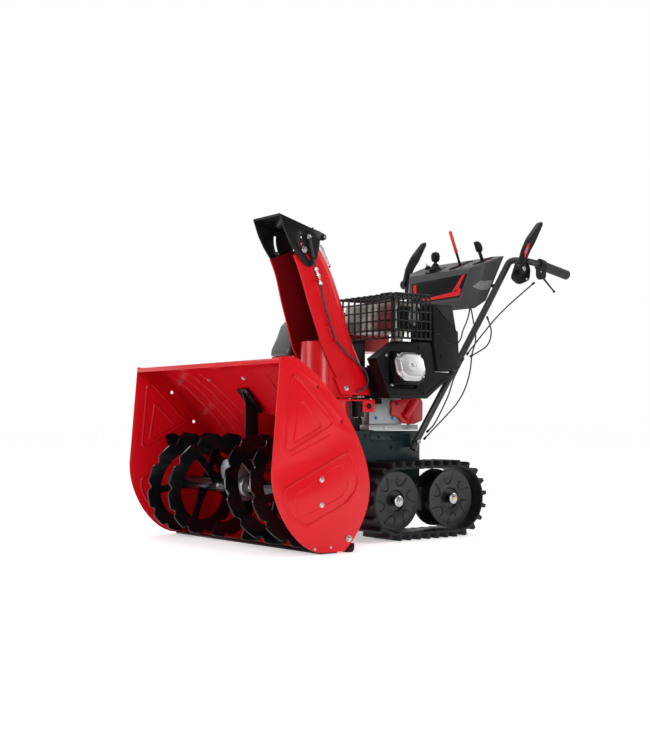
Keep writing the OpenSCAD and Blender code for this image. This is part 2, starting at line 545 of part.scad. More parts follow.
auger_housing();
side_plates();
control_cables();
impeller_drum();
wear_parts();
housing_bolts();
auger_bearings();
gearbox_strut();
auger_gearbox();
auger_left();
auger_right();
auger_shaft();
worm_wheel();
impeller();
impeller_shaft();
impeller_pulley();
chute_base();
chute();
chute_bolts();
chute_cable();
hood();
hood_spring();
chute_motor();
chute_pinion();
chassis();
engine_bed();
transmission();
belt_case();
drive_belt();
crank_pulley();
crankcase();
cylinder_block();
head_cover();
engine_shroud();
fan_cover();
recoil_handle();
fuel_tank();
fuel_cap();
muffler();
muffler_guard();
air_box();
front_cover();
headlight();
track_frame();
sprocket_left();
sprocket_right();
idler_left();
idler_right();
track_left();
track_right();
handlebars();
console();
grips();
paddle_left();
paddle_right();
height_trigger();
joystick();
joystick_gimbal();
speed_lever();
shift_lever();
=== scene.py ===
import bpy, bmesh, json, math
from math import sin, cos, pi, radians as rad
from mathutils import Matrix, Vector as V

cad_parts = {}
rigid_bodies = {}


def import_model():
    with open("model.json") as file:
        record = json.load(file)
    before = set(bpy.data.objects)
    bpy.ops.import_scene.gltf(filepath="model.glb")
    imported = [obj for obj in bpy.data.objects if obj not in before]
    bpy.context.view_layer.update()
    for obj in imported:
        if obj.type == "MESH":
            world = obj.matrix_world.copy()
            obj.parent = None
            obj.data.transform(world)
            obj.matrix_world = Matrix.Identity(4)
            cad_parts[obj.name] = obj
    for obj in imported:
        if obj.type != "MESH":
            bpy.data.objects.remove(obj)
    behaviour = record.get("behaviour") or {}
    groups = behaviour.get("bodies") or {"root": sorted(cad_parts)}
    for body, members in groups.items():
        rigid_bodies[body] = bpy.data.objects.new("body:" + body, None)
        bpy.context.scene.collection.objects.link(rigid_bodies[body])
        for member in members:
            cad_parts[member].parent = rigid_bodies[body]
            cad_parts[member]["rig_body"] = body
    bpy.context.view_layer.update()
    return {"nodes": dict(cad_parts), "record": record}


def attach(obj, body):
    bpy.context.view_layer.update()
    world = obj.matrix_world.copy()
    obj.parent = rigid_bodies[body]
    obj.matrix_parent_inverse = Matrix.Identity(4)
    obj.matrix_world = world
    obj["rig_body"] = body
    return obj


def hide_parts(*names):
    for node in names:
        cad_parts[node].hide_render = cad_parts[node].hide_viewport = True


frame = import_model()
scene = bpy.context.scene

# ---------- camera ----------
cam_data = bpy.data.cameras.new("cam")
cam_data.sensor_width = 36
cam_data.sensor_fit = "AUTO"
cam_data.lens = 57.46
cam_data.shift_y = 0.0613
cam = bpy.data.objects.new("cam", cam_data)
cam.location = (3.1475, -2.56035, 0.3829)
cam.rotation_euler = (rad(90), 0, rad(52.82))
scene.collection.objects.link(cam)
scene.camera = cam

# ---------- materials ----------
ROUGH_SPREAD = 0.12   # share by which the roughness drifts
BUMP_DEPTH = 0.0006   # metres

def mat(name, col, rough=0.4, metal=0.0, coat=0.0, var=0.12, scale=40, bump=0.1, bump_scale=300, spec=0.5):
    """a surface whose colour and roughness drift over it, with a fine bump"""
    m = bpy.data.materials.new(name)
    m.use_nodes = True
    n, l = m.node_tree.nodes, m.node_tree.links
    p = n["Principled BSDF"]
    for key, value in (("Metallic", metal), ("Coat Weight", coat), ("Coat Roughness", 0.06),
                       ("Specular IOR Level", spec)):
        p.inputs[key].default_value = value
    tc = n.new("ShaderNodeTexCoord")
    big, fine = n.new("ShaderNodeTexNoise"), n.new("ShaderNodeTexNoise")
    for noise, size, detail in ((big, scale, 5), (fine, bump_scale, 3)):
        noise.inputs["Scale"].default_value = size
        noise.inputs["Detail"].default_value = detail
        l.new(tc.outputs["Object"], noise.inputs["Vector"])
    ramp = n.new("ShaderNodeValToRGB")
    for stop, place, k in zip(ramp.color_ramp.elements, (0.3, 0.7), (1 - var, 1 + var)):
        stop.position = place
        stop.color = [min(1, c * k) for c in col] + [1]
    l.new(big.outputs["Fac"], ramp.inputs["Fac"])
    l.new(ramp.outputs["Color"], p.inputs["Base Color"])
    mr = n.new("ShaderNodeMapRange")
    mr.inputs["To Min"].default_value = max(0.02, rough - ROUGH_SPREAD * rough)
    mr.inputs["To Max"].default_value = min(1, rough + ROUGH_SPREAD * rough * 2)
    l.new(big.outputs["Fac"], mr.inputs["Value"])
    l.new(mr.outputs["Result"], p.inputs["Roughness"])
    b = n.new("ShaderNodeBump")
    b.inputs["Strength"].default_value = bump
    b.inputs["Distance"].default_value = BUMP_DEPTH
    l.new(fine.outputs["Fac"], b.inputs["Height"])
    l.new(b.outputs["Normal"], p.inputs["Normal"])
    return m

RED = mat("gloss_red_paint", (0.62, 0.004, 0.010), 0.24, 0.0, 0.05, 0.04, 9, 0.05, 220, spec=0.22)
RED_DARK = mat("housing_red_paint", (0.54, 0.003, 0.009), 0.28, 0.0, 0.05, 0.07, 8, 0.06, 220, spec=0.22)
# darker copy of the red for the chute's inside: painted shade where little light reaches, not a different
# paint
CHUTE_RED_PAINTED_SHADE = mat("inner_red_painted_shade", (0.17, 0.003, 0.006), 0.4, 0.0, 0.0, 0.1, 9, 0.08, 220, spec=0.15)
ENG_RED = mat("engine_red_paint", (0.46, 0.004, 0.010), 0.3, 0.0, 0.1, 0.1, 14, 0.1, 260, spec=0.35)
BLK_GLOSS = mat("black_gloss_paint", (0.003, 0.004, 0.005), 0.16, 0.0, 0.12, 0.2, 20, 0.12, 180, spec=0.28)
BLK_SAT = mat("black_satin_paint", (0.004, 0.004, 0.005), 0.3, 0.0, 0.05, 0.2, 25, 0.1, 350, spec=0.2)
BLK_PLA = mat("black_moulded_plastic", (0.005, 0.005, 0.006), 0.38, 0.0, 0.0, 0.25, 30, 0.5, 900, spec=0.16)
RUBBER = mat("track_rubber", (0.006, 0.007, 0.009), 0.45, 0.0, 0.0, 0.35, 22, 0.7, 420, spec=0.25)
GRIP = mat("grip_rubber", (0.010, 0.010, 0.011), 0.55, 0.0, 0.0, 0.25, 60, 0.8, 700)
TEAL = mat("dark_teal_paint", (0.008, 0.026, 0.030), 0.34, 0.0, 0.08, 0.25, 18, 0.15, 300, spec=0.3)
WHEEL = mat("wheel_dark_paint", (0.009, 0.009, 0.009), 0.32, 0.0, 0.05, 0.25, 25, 0.3, 260, spec=0.4)
ALU = mat("cast_aluminium", (0.30, 0.31, 0.32), 0.4, 0.9, 0.0, 0.12, 30, 0.8, 420)
ALU_B = mat("bright_aluminium", (0.50, 0.50, 0.51), 0.3, 0.9, 0.0, 0.06, 22, 0.35, 500)
SILVER = mat("silver_paint", (0.36, 0.38, 0.39), 0.34, 0.6, 0.2, 0.06, 25, 0.1, 350)
ZINC = mat("zinc_plate", (0.50, 0.50, 0.49), 0.26, 1.0, 0.0, 0.14, 60, 0.2, 500)
BRASS = mat("yellow_zinc", (0.78, 0.52, 0.16), 0.3, 1.0, 0.0, 0.2, 60, 0.2, 500)
STEEL = mat("muffler_steel", (0.40, 0.36, 0.32), 0.3, 1.0, 0.0, 0.28, 14, 0.3, 220)
TUBE = mat("tube_grey_paint", (0.030, 0.030, 0.034), 0.36, 0.2, 0.05, 0.1, 25, 0.12, 380, spec=0.35)
CONS = mat("console_grey_plastic", (0.050, 0.050, 0.055), 0.40, 0.0, 0.0, 0.1, 22, 0.45, 900, spec=0.22)
CONS_L = mat("console_light_plastic", (0.17, 0.17, 0.175), 0.45, 0.0, 0.0, 0.08, 22, 0.45, 900)
DECAL = mat("decal_black", (0.003, 0.003, 0.004), 0.35, 0.0, 0.0, 0.1, 60, 0.02, 300, spec=0.08)
DEC_RED = mat("decal_red", (0.66, 0.008, 0.016), 0.35, 0.0, 0.0, 0.06, 60, 0.02, 300, spec=0.12)
LEVER = mat("lever_red_plastic", (0.68, 0.015, 0.018), 0.26, 0.0, 0.2, 0.06, 60, 0.1, 500)
LAMP = mat("lamp_grey_plastic", (0.030, 0.040, 0.048), 0.28, 0.1, 0.3, 0.1, 22, 0.1, 500)
CABLE = mat("cable_teal_sheath", (0.006, 0.022, 0.026), 0.30, 0.0, 0.1, 0.2, 60, 0.15, 600)
CABLE_B = mat("cable_black_sheath", (0.008, 0.008, 0.009), 0.35, 0.0, 0.0, 0.2, 60, 0.15, 600)
BRONZE = mat("bronze", (0.50, 0.30, 0.12), 0.35, 1.0, 0.0, 0.15, 40, 0.2, 400)
YELLOW = mat("label_yellow", (0.80, 0.55, 0.02), 0.35, 0.0, 0.1, 0.05, 60, 0.02, 400)
BLUE = mat("blue_zinc", (0.10, 0.22, 0.55), 0.3, 0.8, 0.0, 0.15, 60, 0.15, 500)
FLOOR = mat("floor", (0.97, 0.97, 0.97), 0.8, 0.0, 0.0, 0.005, 2, 0.02, 40)
floor_node = FLOOR.node_tree.nodes["Principled BSDF"]
floor_node.inputs["Emission Color"].default_value = (1, 1, 1, 1)
floor_node.inputs["Emission Strength"].default_value = 0.42

SLOTS = {"housing_red": RED_DARK, "body_red": RED, "black_steel": BLK_SAT, "zinc": ZINC, "cast": ALU,
         "alu": ALU,
         "auger_black": BLK_GLOSS, "dark_steel": STEEL, "bronze": BRONZE, "cable_sheath": CABLE,
         "hood_black": BLK_SAT,
         "black_plastic": BLK_PLA, "chassis_grey": TEAL, "silver_paint": SILVER, "belt_rubber": RUBBER,
         "alu_bright": ALU_B, "engine_red": ENG_RED, "steel": STEEL, "lamp_grey": LAMP, "wheel_grey": WHEEL,
         "track_rubber": RUBBER, "tube_grey": TUBE, "console_grey": CONS, "grip_rubber": GRIP,
         "lever_red": LEVER}
for sp in frame["record"]["subparts"]:
    o = frame["nodes"][sp["node"]]
    o.data.materials.clear()
    o.data.materials.append(SLOTS[sp["material_slot"]])

# ---------- mesh building, in millimetres ----------
AUG_Y, AUG_Z = -502, 179                 # auger shaft
FAN_Z = 230                              # impeller shaft
AXLE_Z = 127                             # both axles of the tracks
SPROCKET_Y, IDLER_Y = -66, 172
PLATE_X = 415.4                          # just inside the outer face of a side plate

def bevelled(o, width, seg, limit):
    """rounds the edges of o that turn by more than the limit, and returns its new mesh"""
    b = o.modifiers.new("b", "BEVEL")
    b.width = width / 1000
    b.segments = seg
    b.limit_method = "ANGLE"
    b.angle_limit = rad(limit)
    b.use_clamp_overlap = True
    new = bpy.data.meshes.new_from_object(o.evaluated_get(bpy.context.evaluated_depsgraph_get()))
    o.modifiers.clear()
    old = o.data
    o.data = new
    bpy.data.meshes.remove(old)
    return new

class Mesh:
    """vertices and faces gathered in millimetres, each face with its material"""
    def __init__(s):
        s.v, s.f, s.m, s.mats = [], [], [], []

    def add(s, vs, fs, m):
        if m not in s.mats:
            s.mats.append(m)
        k = len(s.v)
        s.v += [tuple(x / 1000 for x in q) for q in vs]
        s.f += [tuple(k + i for i in f) for f in fs]
        s.m += [s.mats.index(m)] * len(fs)
        return s

    def loft(s, rings, m, caps=True, closed=False):
        n, k = len(rings), len(rings[0])
        fs = []
        for i in range(n if closed else n - 1):
            for j in range(k):
                a, b = i * k + j, i * k + (j + 1) % k
                c, d = ((i + 1) % n) * k + (j + 1) % k, ((i + 1) % n) * k + j
                fs.append((a, d, c, b))
        if caps and not closed:
            fs += [tuple(range(k)), tuple((n - 1) * k + j for j in range(k - 1, -1, -1))]
        return s.add([q for r in rings for q in r], fs, m)

    def prism(s, pts, a, b, m, ax="x"):
        """pts in the plane across ax, pushed from a to b along it"""
        put = {"x": lambda p, h: (h, p[0], p[1]),
               "y": lambda p, h: (p[0], h, p[1]),
               "z": lambda p, h: (p[0], p[1], h)}[ax]
        return s.loft([[put(p, a) for p in pts], [put(p, b) for p in pts]], m)

    def box(s, a, b, m):
        return s.prism([(a[0], a[1]), (b[0], a[1]), (b[0], b[1]), (a[0], b[1])], a[2], b[2], m, "z")

    def lathe(s, prof, o, d, m, n=48, closed=False):
        """prof [(radius, height)] turned about the axis d through o"""
        d = V(d).normalized()
        u = d.orthogonal().normalized()
        w = d.cross(u)
        rings = [[tuple(V(o) + d * h + (u * cos(2 * pi * k / n) + w * sin(2 * pi * k / n)) * max(r, 0.01))
                  for k in range(n)]
                 for r, h in prof]
        return s.loft(rings, m, caps=not closed, closed=closed)

    def rod(s, a, b, r, m, n=20, ch=0.0):
        L = (V(b) - V(a)).length
        c = min(ch, L / 3)
        pr = [(r - c, 0), (r, c), (r, L - c), (r - c, L)] if c else [(r, 0), (r, L)]
        return s.lathe(pr, a, V(b) - V(a), m, n)

    def ngon(s, n, r, a, b, m, turn=0.0):
        """n-sided bar from a to b"""
        d = (V(b) - V(a)).normalized()
        u = d.orthogonal().normalized()
        w = d.cross(u)
        ring = [u * cos(2 * pi * k / n + turn) * r + w * sin(2 * pi * k / n + turn) * r for k in range(n)]
        return s.loft([[tuple(V(p) + q) for q in ring] for p in (a, b)], m)

    def bolt(s, p, d, r, m, washer=True):
        """hex bolt head at p pointing along d"""
        p, d = V(p), V(d).normalized()
        if washer:
            s.rod(p, p + d * r * 0.28, r * 1.35, m, 24, r * 0.08)
        s.ngon(6, r, p + d * r * 0.2, p + d * r * 0.85, m, 0.3)
        s.rod(p + d * r * 0.8, p + d * r * 1.05, r * 0.45, m, 16, r * 0.06)
        return s

    def tube(s, pts, r, m, n=12, caps=True, closed=False):
        pts = [V(p) for p in pts]
        N = len(pts)
        t = [(pts[(i + 1) % N if closed else min(i + 1, N - 1)] - pts[(i - 1) % N if closed else max(i - 1,
                0)]).normalized()
             for i in range(N)]
        u = t[0].orthogonal().normalized()
        rings = []
        for i in range(N):
            u = (u - t[i] * u.dot(t[i])).normalized()
            w = t[i].cross(u)
            rr = r(i / (N - 1)) if callable(r) else r
            rings.append([tuple(pts[i] + (u * cos(2 * pi * k / n) + w * sin(2 * pi * k / n)) * rr)
                          for k in range(n)])
        return s.loft(rings, m, caps=caps, closed=closed)

    def sphere(s, c, r, m, n=24):
        return s.lathe([(r * sin(pi * i / 12), -r * cos(pi * i / 12)) for i in range(13)], c, (0, 0, 1), m, n)

    def make(s, name, body, nodes=(), bevel=0.0, angle=38):
        """the finished object, riding on a body and standing for the CAD nodes given"""
        me = bpy.data.meshes.new(name)
        me.from_pydata(s.v, [], s.f)
        for m in s.mats:
            me.materials.append(m)
        for p, k in zip(me.polygons, s.m):
            p.material_index = k
        bm = bmesh.new()
        bm.from_mesh(me)
        bmesh.ops.recalc_face_normals(bm, faces=bm.faces)
        bm.to_mesh(me)
        bm.free()
        o = bpy.data.objects.new(name, me)
        scene.collection.objects.link(o)
        if bevel:
            me = bevelled(o, bevel, 2, 35)
            me.name = name
        me.polygons.foreach_set("use_smooth", [True] * len(me.polygons))
        me.set_sharp_from_angle(angle=rad(angle))
        me.update()
        if nodes:
            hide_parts(*nodes)
        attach(o, body)
        return o

def bez(a, b, c, d, n):
    """cubic curve from a to d in n steps"""
    a, b, c, d = V(a), V(b), V(c), V(d)
    return [tuple(a * (1 - t) ** 3 + 3 * b * (1 - t) ** 2 * t + 3 * c * (1 - t) * t * t + d * t ** 3)
            for t in (i / n for i in range(n + 1))]

def smooth(p, k=6):
    """Catmull-Rom line through the points p"""
    p = [V(q) for q in p]
    n = len(p) - 1
    r = []
    for i in range(n):
        a, b, c, d = p[max(i - 1, 0)], p[i], p[i + 1], p[min(i + 2, n)]
        for j in range(k):
            t = j / k
            r.append(0.5 * (2 * b + (c - a) * t + (2 * a - 5 * b + 4 * c - d) * t * t
                            + (3 * b - a - 3 * c + d) * t ** 3))
    return [tuple(q) for q in r + [p[-1]]]

def rounded(pts, r, n=6):
    """closed 2-D polygon with its corners rounded by up to r"""
    out = []
    N = len(pts)
    for i in range(N):
        p, a, b = V(pts[i]), V(pts[i - 1]), V(pts[(i + 1) % N])
        rr = r[i] if isinstance(r, (list, tuple)) else r
        da, db = (a - p), (b - p)
        k = min(rr, da.length * 0.48, db.length * 0.48)
        u, w = p + da.normalized() * k, p + db.normalized() * k
        for j in range(n + 1):
            t = j / n
            out.append(tuple(u * (1 - t) ** 2 + p * 2 * t * (1 - t) + w * t * t))
    return out

def side(p, d):
    """open line p moved sideways by d"""
    r = []
    for i, q in enumerate(p):
        a, b = V(p[max(i - 1, 0)]), V(p[min(i + 1, len(p) - 1)])
        u = (b - a).normalized()
        r.append((q[0] - d * u[1], q[1] + d * u[0]))
    return r

def inset(p, d):
    """closed outline moved inwards by d"""
    N = len(p)
    area = sum(p[i - 1][0] * p[i][1] - p[i][0] * p[i - 1][1] for i in range(N))
    sg = 1 if area > 0 else -1
    r = []
    for i in range(N):
        a, q, b = V(p[i - 1]), V(p[i]), V(p[(i + 1) % N])
        u, w = q - a, b - q
        if u.length < 1e-6:
            u = w
        if w.length < 1e-6:
            w = u
        t = (u.normalized() + w.normalized())
        t = t.normalized() if t.length > 1e-6 else u.normalized()
        r.append((q[0] - sg * d * t[1], q[1] + sg * d * t[0]))
    return r

SAME_POINT, SAME_PLANE = 2e-6, 1.5    # metres, degrees

def refine(node, m, bevel=0.8, angle=32, seg=2):
    """a copy of a CAD node with its flat faces joined and its edges rounded, standing for the node"""
    src = frame["nodes"][node]
    me = src.data.copy()
    me.name = node + "_look"
    for a in [a for a in me.attributes if a.name == "custom_normal"]:
        me.attributes.remove(a)
    bm = bmesh.new()
    bm.from_mesh(me)
    bmesh.ops.remove_doubles(bm, verts=bm.verts, dist=SAME_POINT)
    bmesh.ops.dissolve_limit(bm, angle_limit=rad(SAME_PLANE), verts=bm.verts, edges=bm.edges)
    bm.to_mesh(me)
    bm.free()
    me.materials.clear()
    me.materials.append(m)
    o = bpy.data.objects.new(node + "_look", me)
    scene.collection.objects.link(o)
    if bevel:
        me = bevelled(o, bevel, seg, angle)
    me.polygons.foreach_set("use_smooth", [True] * len(me.polygons))
    me.set_sharp_from_angle(angle=rad(34))
    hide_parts(node)
    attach(o, src["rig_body"])
    return o

def across(ring, x):
    """an outline in (y, z) put at x"""
    return [(x, q[0], q[1]) for q in ring]

def layers(ring, steps, put=across):
    """rings for a loft: the outline moved in by d and put at h, for each (h, d)"""
    return [put(inset(ring, d) if d else ring, h) for h, d in steps]

# ---------- auger housing ----------
back_hi = bez((-582, 559, 0), (-430, 470, 0), (-323, 300, 0), (-323, 185, 0), 40)
upper_pad = [(-599, 515), (-582, 507), (-461, 391), (-454, 380), (-468, 365), (-616, 290), (-633, 302),
             (-613, 498)]
upper_in = [(-571, 445), (-497, 371), (-503, 362), (-596, 316), (-604, 322), (-584, 440)]
lower_pad = [(-406, 295), (-387, 278), (-365, 225), (-366, 185), (-410, 140), (-536, 88), (-557, 80),
             (-609, 105),
             (-633, 148), (-637, 182), (-627, 198)]

lower_in = [(-440, 262), (-420, 246), (-404, 214), (-404, 190), (-428, 160), (-540, 118), (-556, 114),
            (-590, 132), (-602, 158), (-600, 176)]
rib = [p[:2] for p in smooth([(-612, 282, 0), (-540, 312, 0), (-470, 342, 0)], 8)]
rib = side(rib, 3.2) + side(rib, -3.2)[::-1]

P = Mesh()
for sgn in (1, -1):
    lay = lambda ring, h: across(ring, sgn * h)
    for pad, rr in ((upper_pad, 10), (lower_pad, 22)):
        P.loft(layers(rounded(pad, rr, 6), ((PLATE_X, 0), (419.6, 1.6), (421.0, 3.2), (421.0, 5.2),
                                            (419.6, 6.8),
                                            (415.6, 9.5)), lay), RED)
    P.loft(layers(rounded(upper_in, 8, 5), ((PLATE_X, 0), (419.2, 1.6), (420.4, 3), (420.4, 4.8),
                                            (419.2, 6.2),
                                            (415.6, 8.5)), lay), RED)
    P.loft(layers(rounded(lower_in, 18, 6), ((PLATE_X, 0), (418.6, 1.6), (419.4, 3), (418.6, 4.6),
                                             (415.6, 6.4)), lay), RED)
    P.loft(layers(rib, ((415.8, 0), (417.3, 1.6)), lay), RED)   # short rib beside the lower pad
    # the same pressings seen from inside
    for pad, rr in ((upper_pad, 10), (upper_in, 8), (lower_pad, 22)):
        P.loft(layers(rounded(pad, rr, 6), ((413.4, 0), (411.6, 2.5), (410.6, 5), (411.6, 8), (413.4, 11)),
                      lay),
               RED_DARK)
P.make("side_plate_pressings", "chassis", angle=30)
refine("side_plates", RED, 0.9)

refine("auger_housing", RED_DARK, 0.7)
H = Mesh()
def shell_pt(z):
    for a, b in zip(back_hi, back_hi[1:]):
        if a[1] >= z >= b[1]:
            t = (a[1] - z) / (a[1] - b[1])
            return a[0] + (b[0] - a[0]) * t
    return back_hi[-1][0]
# pressed ribs that run slanting down the inside of the shell
for k in range(-6, 7):
    x0 = k * 62 + 10
    pts = []
    for i in range(13):
        z = 548 - i * 22
        pts.append((x0 - (i * 9 if x0 > 0 else -i * 9), shell_pt(z) - 6.6, z))
    if all(abs(p[0]) < 402 for p in pts) and all(abs(p[0]) > 30 for p in pts):
        q = [p for p in pts if (p[0] ** 2 + (p[2] - FAN_Z) ** 2) > 190 ** 2]
        if len(q) > 3:
            H.tube(q, lambda t: 0.6 + 2.6 * sin(pi * t) ** 0.4, RED_DARK, 10)
for (x, z) in ((-151, 517), (254, 518), (-330, 517), (52, 517)):
    y = shell_pt(z) - 5.5
    H.bolt((x, y, z), (0, -0.75, -0.45), 6, ZINC)
# stiffening lip along the top edge
H.tube([(-413, -644.4, 551.5), (413, -644.4, 551.5)], 1.6, RED_DARK, 10)
H.make("housing_pressings", "chassis", angle=40)

refine("impeller_drum", RED, 0.7)
refine("wear_parts", BLK_SAT, 1.2)
refine("gearbox_strut", BLK_SAT, 0.8)
refine("auger_bearings", ALU, 0.6)
refine("auger_gearbox", ALU, 2.0)
refine("worm_wheel", BRONZE, 0.3)
refine("auger_shaft", STEEL, 0.8)
refine("impeller_pulley", ALU, 0.5)
refine("crank_pulley", ALU, 0.5)
refine("impeller", BLK_GLOSS, 0.8)

S = Mesh()
for s_ in (-1, 1):
    for z in (215, 143):
        S.rod((s_ * 418, AUG_Y, z), (s_ * 419.6, AUG_Y, z), 8.2, ZINC, 24, 0.4)
        S.ngon(6, 6.2, (s_ * 419.2, AUG_Y, z), (s_ * 422.4, AUG_Y, z), ZINC, 0.3)
    S.rod((s_ * 416, -402, 41), (s_ * 418, -402, 41), 10.5, ZINC, 24, 0.5)
    S.ngon(6, 8, (s_ * 417.6, -402, 41), (s_ * 422.6, -402, 41), ZINC, 0.1)
    S.rod((s_ * 416, -526, 18), (s_ * 418.4, -526, 18), 4, ZINC, 18, 0.5)
    S.rod((s_ * 416, -468, 20), (s_ * 418.4, -468, 20), 4, ZINC, 18, 0.5)
S.make("housing_bolts_look", "chassis", ["housing_bolts"], bevel=0.35)

T = Mesh()   # strut and gearbox fasteners
for x in (-18, 18):
    T.bolt((x, -488, 466.5), (0, -0.76, -0.65), 6, BLK_SAT)
    T.bolt((x, -456, 429.5), (0, -0.76, -0.65), 6, BLK_SAT)
for a in range(0, 360, 60):
    y, z = AUG_Y + 38 * cos(rad(a)), AUG_Z + 38 * sin(rad(a))
    for s_ in (-1, 1):
        T.bolt((s_ * 24, y, z), (s_, 0, 0), 4.2, BLUE, False)
for a in range(45, 360, 90):
    T.bolt((24 * cos(rad(a)), -556, FAN_Z + 24 * sin(rad(a))), (0, -1, 0), 4.2, BLUE, False)
T.prism([(cos(2 * pi * k / 40) * 30, FAN_Z + sin(2 * pi * k / 40) * 30) for k in range(40)], -559, -555.5,
        ALU, "y")
T.make("gearbox_fasteners", "chassis", bevel=0.3)

# ---------- augers ----------
RIBBON_R, RIBBON_IN, NOTCH = 166, 118, 13

def ribbon(M, x0, a0, sg):
    """one helical ribbon from x0, with a notch every 30 degrees"""
    rings = []
    for i in range(0, 401, 2):
        x = x0 + sg * i * 0.74
        t = (i % 30) / 30
        notch = NOTCH * (max(0, 1 - abs(t - 0.78) / 0.16)) ** 0.7 if i > 6 else 0
        ro = RIBBON_R - notch
        ca, sa = cos(rad(a0 + i)), sin(rad(a0 + i))
        rings.append([(x + h, AUG_Y + r * ca, AUG_Z + r * sa) for h, r in
                      ((-2.6, RIBBON_IN), (2.6, RIBBON_IN), (2.6, ro - 2), (1.2, ro), (-1.2, ro),
                       (-2.6, ro - 2))])
    M.loft(rings, BLK_GLOSS)

for s_, nm in ((1, "left"), (-1, "right")):
    A = Mesh()
    for k in (0, 1):
        ribbon(A, s_ * 84, 70 + 180 * k, s_)
        for i in (6, 18, 30):
            a = 70 + 180 * k + i * 10
            x = s_ * (84 + i * 7.4)
            u = V((0, cos(rad(a)), sin(rad(a))))
            w = V((0, -sin(rad(a)), cos(rad(a))))
            c = V((x, AUG_Y, AUG_Z))
            prof = [(20, -17), (60, -11), (118, -12), (134, -16), (134, 16), (118, 12), (60, 11), (20, 17)]
            A.loft([[tuple(c + u * p[0] + w * p[1] + V((h, 0, 0))) for p in prof] for h in (-3.2, 3.2)],
                   BLK_GLOSS)
            A.bolt(tuple(c + u * 126 + V((s_ * 3.2, 0, 0))), (s_, 0, 0), 5, BLK_GLOSS, False)
    A.lathe([(15.2, 0), (23.4, 0), (24, 0.8), (24, 319.2), (23.4, 320), (15.2, 320)],
            (s_ * 66, AUG_Y, AUG_Z), (s_, 0, 0), BLK_GLOSS, 40)
    # shear bolt through the tube near the gearbox
    for k in (-1, 1):
        A.ngon(6, 7, (s_ * 92, AUG_Y + k * 24, AUG_Z), (s_ * 92, AUG_Y + k * 30, AUG_Z), ZINC)
    A.make("auger_" + nm + "_look", "auger", ["auger_" + nm], angle=30)
refine("impeller_shaft", STEEL, 0)

# ---------- chute ----------
cx = 70   # the chute's axis, to the left of the middle
# sections up the chute: front y and z, back y and z, half width
secs = [(-222, 466, -84, 466, 81), (-222, 500, -92, 498, 81), (-241, 526, -102, 524, 80.5),
        (-273, 575, -127, 574, 80),
        (-301, 628, -155, 629, 79.5), (-320, 684, -177, 692, 76), (-347, 760, -200, 771, 72),
        (-374, 846, -236, 862, 67),
        (-397, 897, -284, 940, 66)]
fine = smooth(secs, 5)
C = Mesh()
def chute_ring(s, t0, t1):
    """wall of the chute at one section, from t0 to t1 inside its outer face"""
    f, b = V((s[0], s[1])), V((s[2], s[3]))
    d = (b - f).normalized()
    L = (b - f).length
    w = s[4]
    r = min(40, L * 0.4)
    def u(w_, L_, r_):
        pts = [(w_, 0)] + [(w_ - r_ + r_ * cos(rad(a)), L_ - r_ + r_ * sin(rad(a))) for a in range(0, 91, 9)]
        return pts + [(-x, y) for x, y in reversed(pts)]
    o, n = u(w - t0, L - t0, r), u(w - t1, L - t1, r - t1)
    pts = o + n[::-1]
    return [(cx + q[0], f[0] + d[0] * q[1], f[1] + d[1] * q[1]) for q in pts]
C.loft([chute_ring(s, 0, 2.4) for s in fine], RED)
C.loft([chute_ring(s, 2.3, 2.8) for s in fine], CHUTE_RED_PAINTED_SHADE)   # dark red liner inside the chute: painted shade of its deep channel, same paint as outside
# rolled front edges and two pressed seams down each side
for sg in (1, -1):
    edge = [(cx + sg * (s[4] - 1.9), s[0] + 0.5, s[1]) for s in fine[8:]]
    C.tube(edge, 2.4, RED, 10)
    for k in (0.34, 0.66):
        line = [(cx + sg * (s[4] - 0.6), s[0] + (s[2] - s[0]) * k, s[1] + (s[3] - s[1]) * k)
                for s in fine[12:-4]]
        C.tube(line, lambda t: 0.4 + 1.8 * sin(pi * t) ** 0.35, RED, 8)
    C.prism([(-250, 520), (-226, 470), (-180, 470), (-172, 512), (-200, 528)], cx + sg * 80.2,
            cx + sg * 82.8, RED)
for x in (-36, 24):
    C.prism([(-292, 932), (-276, 928), (-273, 962), (-278, 971), (-288, 972), (-296, 964)], cx + x,
            cx + x + 12, RED)
C.prism([(-250, 872), (-206, 880), (-206, 884), (-254, 884)], cx - 4, cx + 4, RED)
C.tube([(cx, -208, 878), (cx, -205, 890), (cx, -214, 893)], 2.2, ZINC, 8)
C.make("chute_look", "chute", ["chute"], angle=38)
refine("chute_base", RED, 0.4)

B = Mesh()
for sg in (1, -1):
    B.bolt((cx + sg * 82.8, -203, 488), (sg, 0, 0), 6.6, ZINC)
    B.rod((cx + sg * 66.8, -362, 916), (cx + sg * 73, -362, 916), 4, ZINC)
    B.rod((cx + sg * 73, -362, 916), (cx + sg * 75.6, -362, 916), 10.5, ZINC, 28, 0.8)
    B.ngon(6, 7, (cx + sg * 75, -362, 916), (cx + sg * 80, -362, 916), ZINC, 0.2)
    B.rod((cx + sg * 80, -362, 916), (cx + sg * 82, -362, 916), 3.4, ZINC, 16, 0.6)
B.make("chute_bolts_look", "chute", ["chute_bolts"], bevel=0.4)

refine("hood", BLK_SAT, 0.7)
Hd = Mesh()
for sg in (1, -1):
    X = cx + sg * 72
    Hd.rod((X, -285, 962), (X + sg * 2.5, -285, 962), 9, BLK_SAT, 24, 0.6)
    Hd.ngon(6, 5, (X + sg * 2, -285, 962), (X + sg * 5.5, -285, 962), ZINC)
    Hd.tube([(X + sg * 0.4, y, z) for y, z in ((-455, 1019), (-436, 969), (-414, 931), (-387, 896),
                                               (-361, 871))], 1.6, BLK_SAT, 8)
Hd.bolt((cx + 72, -345, 956), (1, 0, 0), 5, ZINC)
Hd.tube([(cx + 75, -345 + 7 * cos(a), 956 + 7 * sin(a)) for a in [i * pi / 8 for i in range(12)]], 1.5,
        ZINC, 8)
Hd.tube([(cx - 66, -453, 1015.5), (cx + 66, -453, 1015.5)], 1.6, BLK_SAT, 8)
